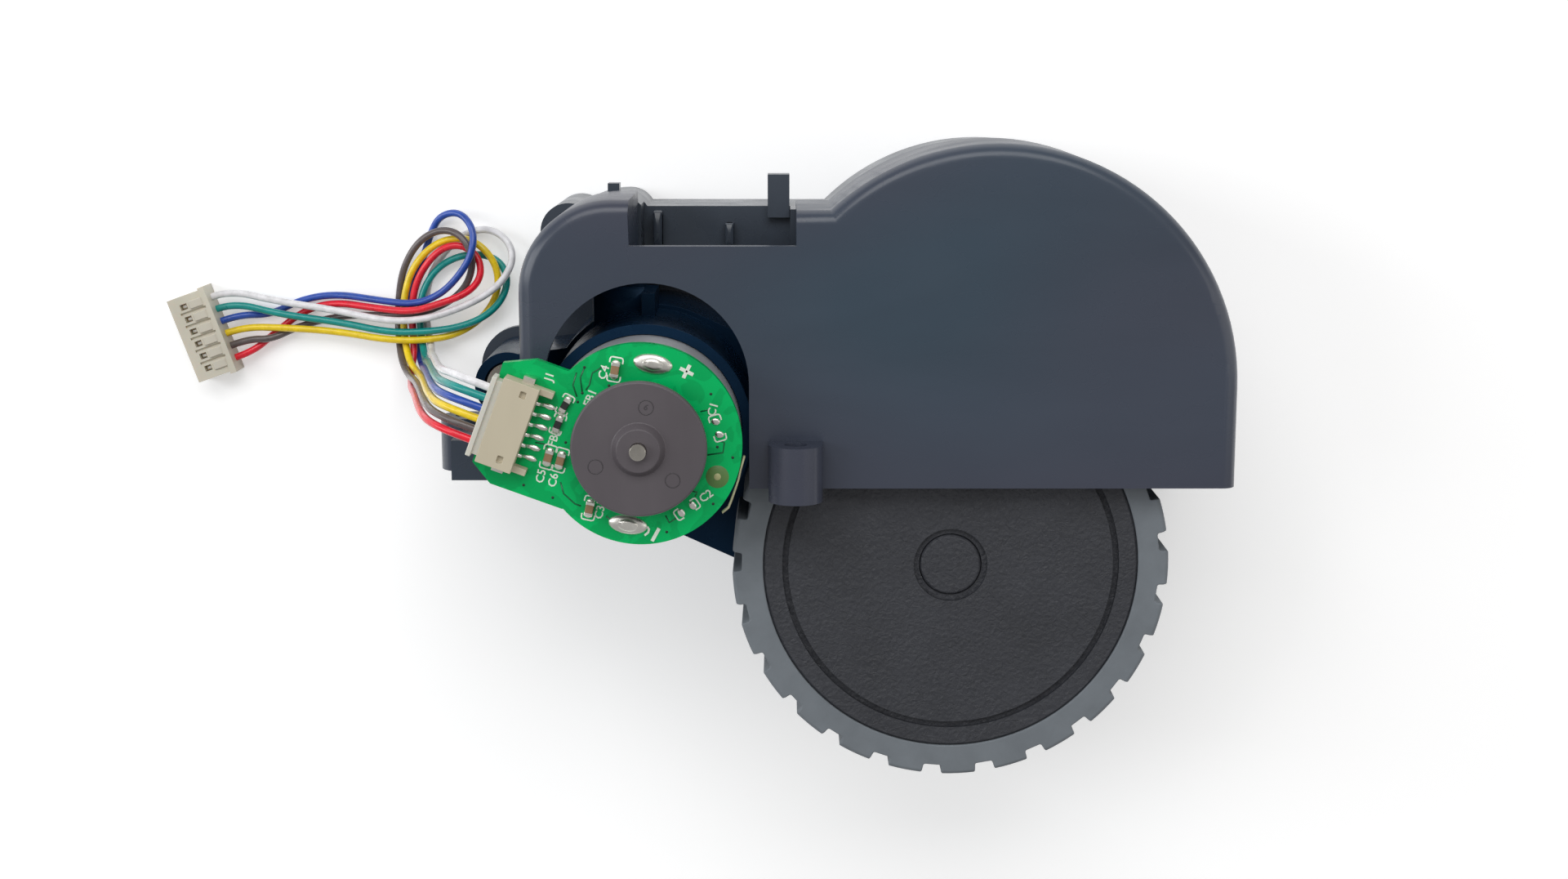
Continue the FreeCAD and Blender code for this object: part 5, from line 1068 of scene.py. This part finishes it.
# %% The board's marks
SIGNS = [  # plus, minus and a short curve beside it: points and width
    ([(26.72, 6.86), (28.48, 5.98)], 0.5),
    ([(27.16, 5.55), (28.04, 7.3)], 0.5),
    ([(22.75, -16.75), (23.72, -14.98)], 0.48),
    ([(21.75, -15.95), (22.25, -15.55), (22.35, -15.1), (22.1, -14.75)], 0.3),
]
BRACKETS = [(*chip, 3.3, 1.75) for chip in CHIPS] + [(*bead, 2.9, 1.6) for bead in BEADS]
BRACKETS += [(31.69, -1.24, 106.0, 3.6, 1.6), (27.5, -12.35, 34.0, 3.6, 1.5)]
WORD_SIZE = 1.6
WORDS = [
    ("C4", 16.55, 6.3, 72.0), ("J1", 9.3, 5.75, 72.0), ("FB1", 14.7, 2.85, 68.0),
    ("FB2", 9.75, -2.6, 72.0), ("C5", 7.9, -7.8, 76.0), ("C6", 9.55, -8.35, 76.0),
    ("C3", 15.75, -12.75, 76.0), ("C1", 31.1, 1.3, 74.0), ("C2", 30.1, -10.55, 36.0),
]
marks = [stroke(path, width) for path, width in SIGNS]
for place in BRACKETS:
    marks += bracket(*place)
words = [letters(*word, WORD_SIZE) for word in WORDS]
for name, shapes in (("printed_marks", marks), ("printed_letters", words)):
    add_piece(name, joined(shapes), "arm", ink, "board_green", smooth=False)
print("printed:", len(marks), "lines and", len(words), "marks of letters")

# %% [markdown]
# Tracks and holes. A track is copper under the mask, seen as a darker line; a via is a tiny
# hole, drawn as a nearly black disc that paints the shade in the hole. The round pad near the
# right edge is bare glass with a drop of resin in its middle. Along the lower right the board
# was snapped off, so its raw glass edge shows.

# %% Tracks, vias, the round pad and the broken edge
TRACKS = [
    [(13.97, 6.97), (13.4, 5.6), (13.63, 3.51)],
    [(16.3, 7.0), (15.0, 6.2), (14.6, 4.6), (14.1, 3.9)],
    [(12.9, 6.3), (12.4, 4.6), (12.9, 3.0)],
    [(29.4, 1.0), (30.4, 1.2), (30.5, 0.6)],
    [(30.3, -4.9), (32.4, -4.6), (32.6, -3.2), (32.0, -3.0)],
    [(10.5, -8.6), (10.9, -10.2), (12.4, -11.6), (13.2, -11.9)],
    [(16.6, -13.3), (17.6, -14.2), (18.4, -14.4)],
    [(24.6, -13.2), (25.1, -14.2), (26.0, -13.6)],
    [(27.9, -9.8), (28.9, -10.0), (28.6, -10.6)],
    [(9.0, 1.6), (10.2, 1.0)],
    [(7.2, -3.2), (8.4, -3.4), (9.0, -4.0)],
]
VIAS = [
    (13.97, 6.97), (13.63, 3.51), (17.21, 4.5), (30.82, 3.37), (33.71, -5.27), (31.05, -11.61),
    (24.74, -15.49), (5.53, -9.03), (9.42, -10.75), (31.65, -3.82), (11.3, -3.2), (13.0, 2.3),
]
TRACK_WIDTH, TRACK_RISE, TRACK_THICK = 0.22, 0.004, 0.02
VIA_RADIUS, VIA_HEIGHT, SINK = 0.2, 0.035, 0.02
ROUND_PAD, PAD_RADIUS, RESIN_RADIUS = (31.63, -7.89), 1.55, 0.48
BROKEN_EDGE = [
    (35.25, -5.2), (34.72, -7.1), (34.47, -8.3), (34.02, -9.7), (33.47, -11.3), (33.12, -12.2),
    (32.27, -12.9),
]
EDGE_DEPTH, EDGE_THICK, EDGE_HEIGHT = 0.8, 0.34, 1.62


def button(centre, radius, z, height, steps):
    """A low flat disc with a rounded rim."""
    soft = min(height, radius) * 0.4
    profile = [(0, z), (radius, z), (radius, z + height - soft), (radius - soft, z + height)]
    return lathed(profile + [(0, z + height)], centre, steps)


sunk, rise = BOARD_TOP - SINK, BOARD_TOP + TRACK_RISE
tracks = [stroke(path, TRACK_WIDTH, rise, TRACK_THICK) for path in TRACKS]
# Each via is a small near-black disc, painted shade of its hole.
vias = [button(place, VIA_RADIUS, sunk, VIA_HEIGHT, 16) for place in VIAS]
edge = [(x, y, BOARD_TOP - EDGE_DEPTH) for x, y in BROKEN_EDGE]
bare_glass = moulded("bare_glass", (0.11, 0.22, 0.06), 0.4, 0.6)
pad_resin = moulded("pad_resin", (0.45, 0.46, 0.22), 0.3, 0.5)
for name, shape, finish in (
    ("board_tracks", joined(tracks), mask_dark),
    ("board_vias", joined(vias), via_hole_shade),
    ("round_pad", button(ROUND_PAD, PAD_RADIUS, sunk, 0.04, 48), bare_glass),
    ("round_pad_middle", button(ROUND_PAD, RESIN_RADIUS, BOARD_TOP, 0.07, 32), pad_resin),
    ("broken_board_edge", swept(edge, EDGE_THICK, EDGE_HEIGHT, 8), glass_edge),
):
    add_piece(name, shape, "arm", finish, "board_green")
print("tracks:", len(TRACKS), "vias:", len(VIAS))

# %% [markdown]
# The disc carries three ejector-pin rings from its mould, one with a cavity number.

# %% Ejector rings
RING_PLACES, RING_RADIUS = [(22.35, 2.17), (15.55, -5.79), (25.79, -7.64)], 0.98
RING_WIDTH, RING_THICK = 0.16, 0.07
around = np.linspace(0.0, 2 * np.pi, 40, endpoint=False)
circle = RING_RADIUS * np.stack([np.cos(around), np.sin(around), 0 * around], -1)
circles = [circle + (x, y, DISC_TOP) for x, y in RING_PLACES]
rings = joined([swept(path, RING_WIDTH, RING_THICK, 8, closed=True) for path in circles])
six = letters("6", *RING_PLACES[0], -25.0, 1.15, DISC_TOP + INK_RISE)
disc_ring = moulded("disc_ring", (0.055, 0.048, 0.054), 0.3, 0.42)
add_piece("ejector_rings", rings, "rotor", disc_ring, "disc_magnet")
add_piece("cavity_number", six, "rotor", disc_ring, "disc_magnet", smooth=False)
print("disc top at", round(DISC_TOP, 2), "mm")

# %% [markdown]
# Shaft end. The motor's shaft ends in a small chamfer, which the solid leaves out. A turned
# cap over its end, a few hundredths of a millimetre larger, is simpler than a new shaft.

# %% Shaft end
SHAFT_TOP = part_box("motor_shaft")[1][2] / MM
TIP_RADIUS, TIP_CHAMFER, TIP_RISE, TIP_DEPTH = 1.11, 0.1, 0.03, 0.8
profile = np.array([
    (0.0, -TIP_DEPTH), (TIP_RADIUS, -TIP_DEPTH), (TIP_RADIUS, TIP_RISE - TIP_CHAMFER),
    (TIP_RADIUS - TIP_CHAMFER, TIP_RISE), (0.0, TIP_RISE),
])
tip = lathed(profile + (0.0, SHAFT_TOP), MOTOR)
add_piece("shaft_tip", tip, "rotor", ground_steel, "pin_steel", 30.0)
print("shaft ends at", round(SHAFT_TOP + TIP_RISE, 2), "mm")

# %% [markdown]
# Small moulded details that the solids leave out: two ribs that stiffen the notch's shelf,
# and the flat web between the sleeve's rib and the arm, seen through the window.

# %% Ribs and web
HOUSING_RIB = ("housing", frame_abs, "frame_plastic")
ARM_WEB = ("arm", case_abs, "case_plastic")
BLOCKS = [  # name, two opposite corners, softness of the edges, body with finish and slot
    ("notch_rib_tall", (21.4, 20.0, 14.0), (22.7, 25.3, 18.0), 0.2, HOUSING_RIB),
    ("notch_rib_short", (31.9, 20.0, 14.0), (33.2, 23.5, 17.0), 0.2, HOUSING_RIB),
    ("arm_web", (12.6, 8.0, 19.2), (20.8, 14.5, 21.05), 0.3, ARM_WEB),
]
for name, (x0, y0, z0), (x1, y1, z1), soft, kind in BLOCKS:
    middle = ((x0 + x1) / 2, (y0 + y1) / 2)
    block = pillow(middle, 0.0, z0, x1 - x0, y1 - y0, z1 - z0, soft)
    add_piece(name, block, *kind, 50.0)
    print(name, "stands", round(z1 - z0, 2), "mm high")

# %% [markdown]
# The suspension spring. Its leg stands in the frame and its tail lies in the arm, so the real
# one winds up a little as the arm swings. Here it is one still piece that rides on no body.

# %% Suspension spring
SPRING_RADIUS, SPRING_WIRE, SPRING_TURNS = 3.1, 0.8, 5
SPRING_FOOT, SPRING_LOW, SPRING_HIGH = 1.8, 4.4, 14.6
TAIL_END = 4.75
TURN_STEPS, WIRE_SIDES = 28, 12


def wound_wire():
    """A helix x = R cos a, y = R sin a, with z rising in step with a, a leg down and a tail
    out. Where they meet it, a ball of the wire's width closes the corner."""
    a = np.linspace(0.0, 2 * np.pi * SPRING_TURNS, TURN_STEPS * SPRING_TURNS + 1)
    z = np.linspace(SPRING_LOW, SPRING_HIGH, len(a))
    helix = np.stack([SPRING_RADIUS * np.cos(a), SPRING_RADIUS * np.sin(a), z], -1)
    leg = [(SPRING_RADIUS, 0.0, SPRING_FOOT), (SPRING_RADIUS, 0.0, SPRING_LOW)]
    tail = [(SPRING_RADIUS, 0.0, SPRING_HIGH), (TAIL_END, 0.0, SPRING_HIGH)]
    parts = [swept(path, SPRING_WIRE, sides=WIRE_SIDES) for path in (helix, tail)]
    parts.append(swept(leg, SPRING_WIRE, sides=WIRE_SIDES, up=(0.0, 1.0, 0.0)))
    bow = np.linspace(-np.pi / 2, np.pi / 2, 9)
    for height in (SPRING_LOW, SPRING_HIGH):
        ball = np.stack([np.cos(bow), np.sin(bow)], -1) * SPRING_WIRE / 2 + (0.0, height)
        parts.append(lathed(ball, (SPRING_RADIUS, 0.0), WIRE_SIDES))
    return joined(parts)


spring = add_piece("spring_coil", wound_wire(), None, spring_steel, "spring_steel")
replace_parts(spring, "suspension_spring")
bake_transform(spring)
print("spring:", SPRING_TURNS, "turns, blended from the housing to the arm")

# %% [markdown]
# The end. The view layer is brought up to date.

# %% Finish
bpy.context.view_layer.update()
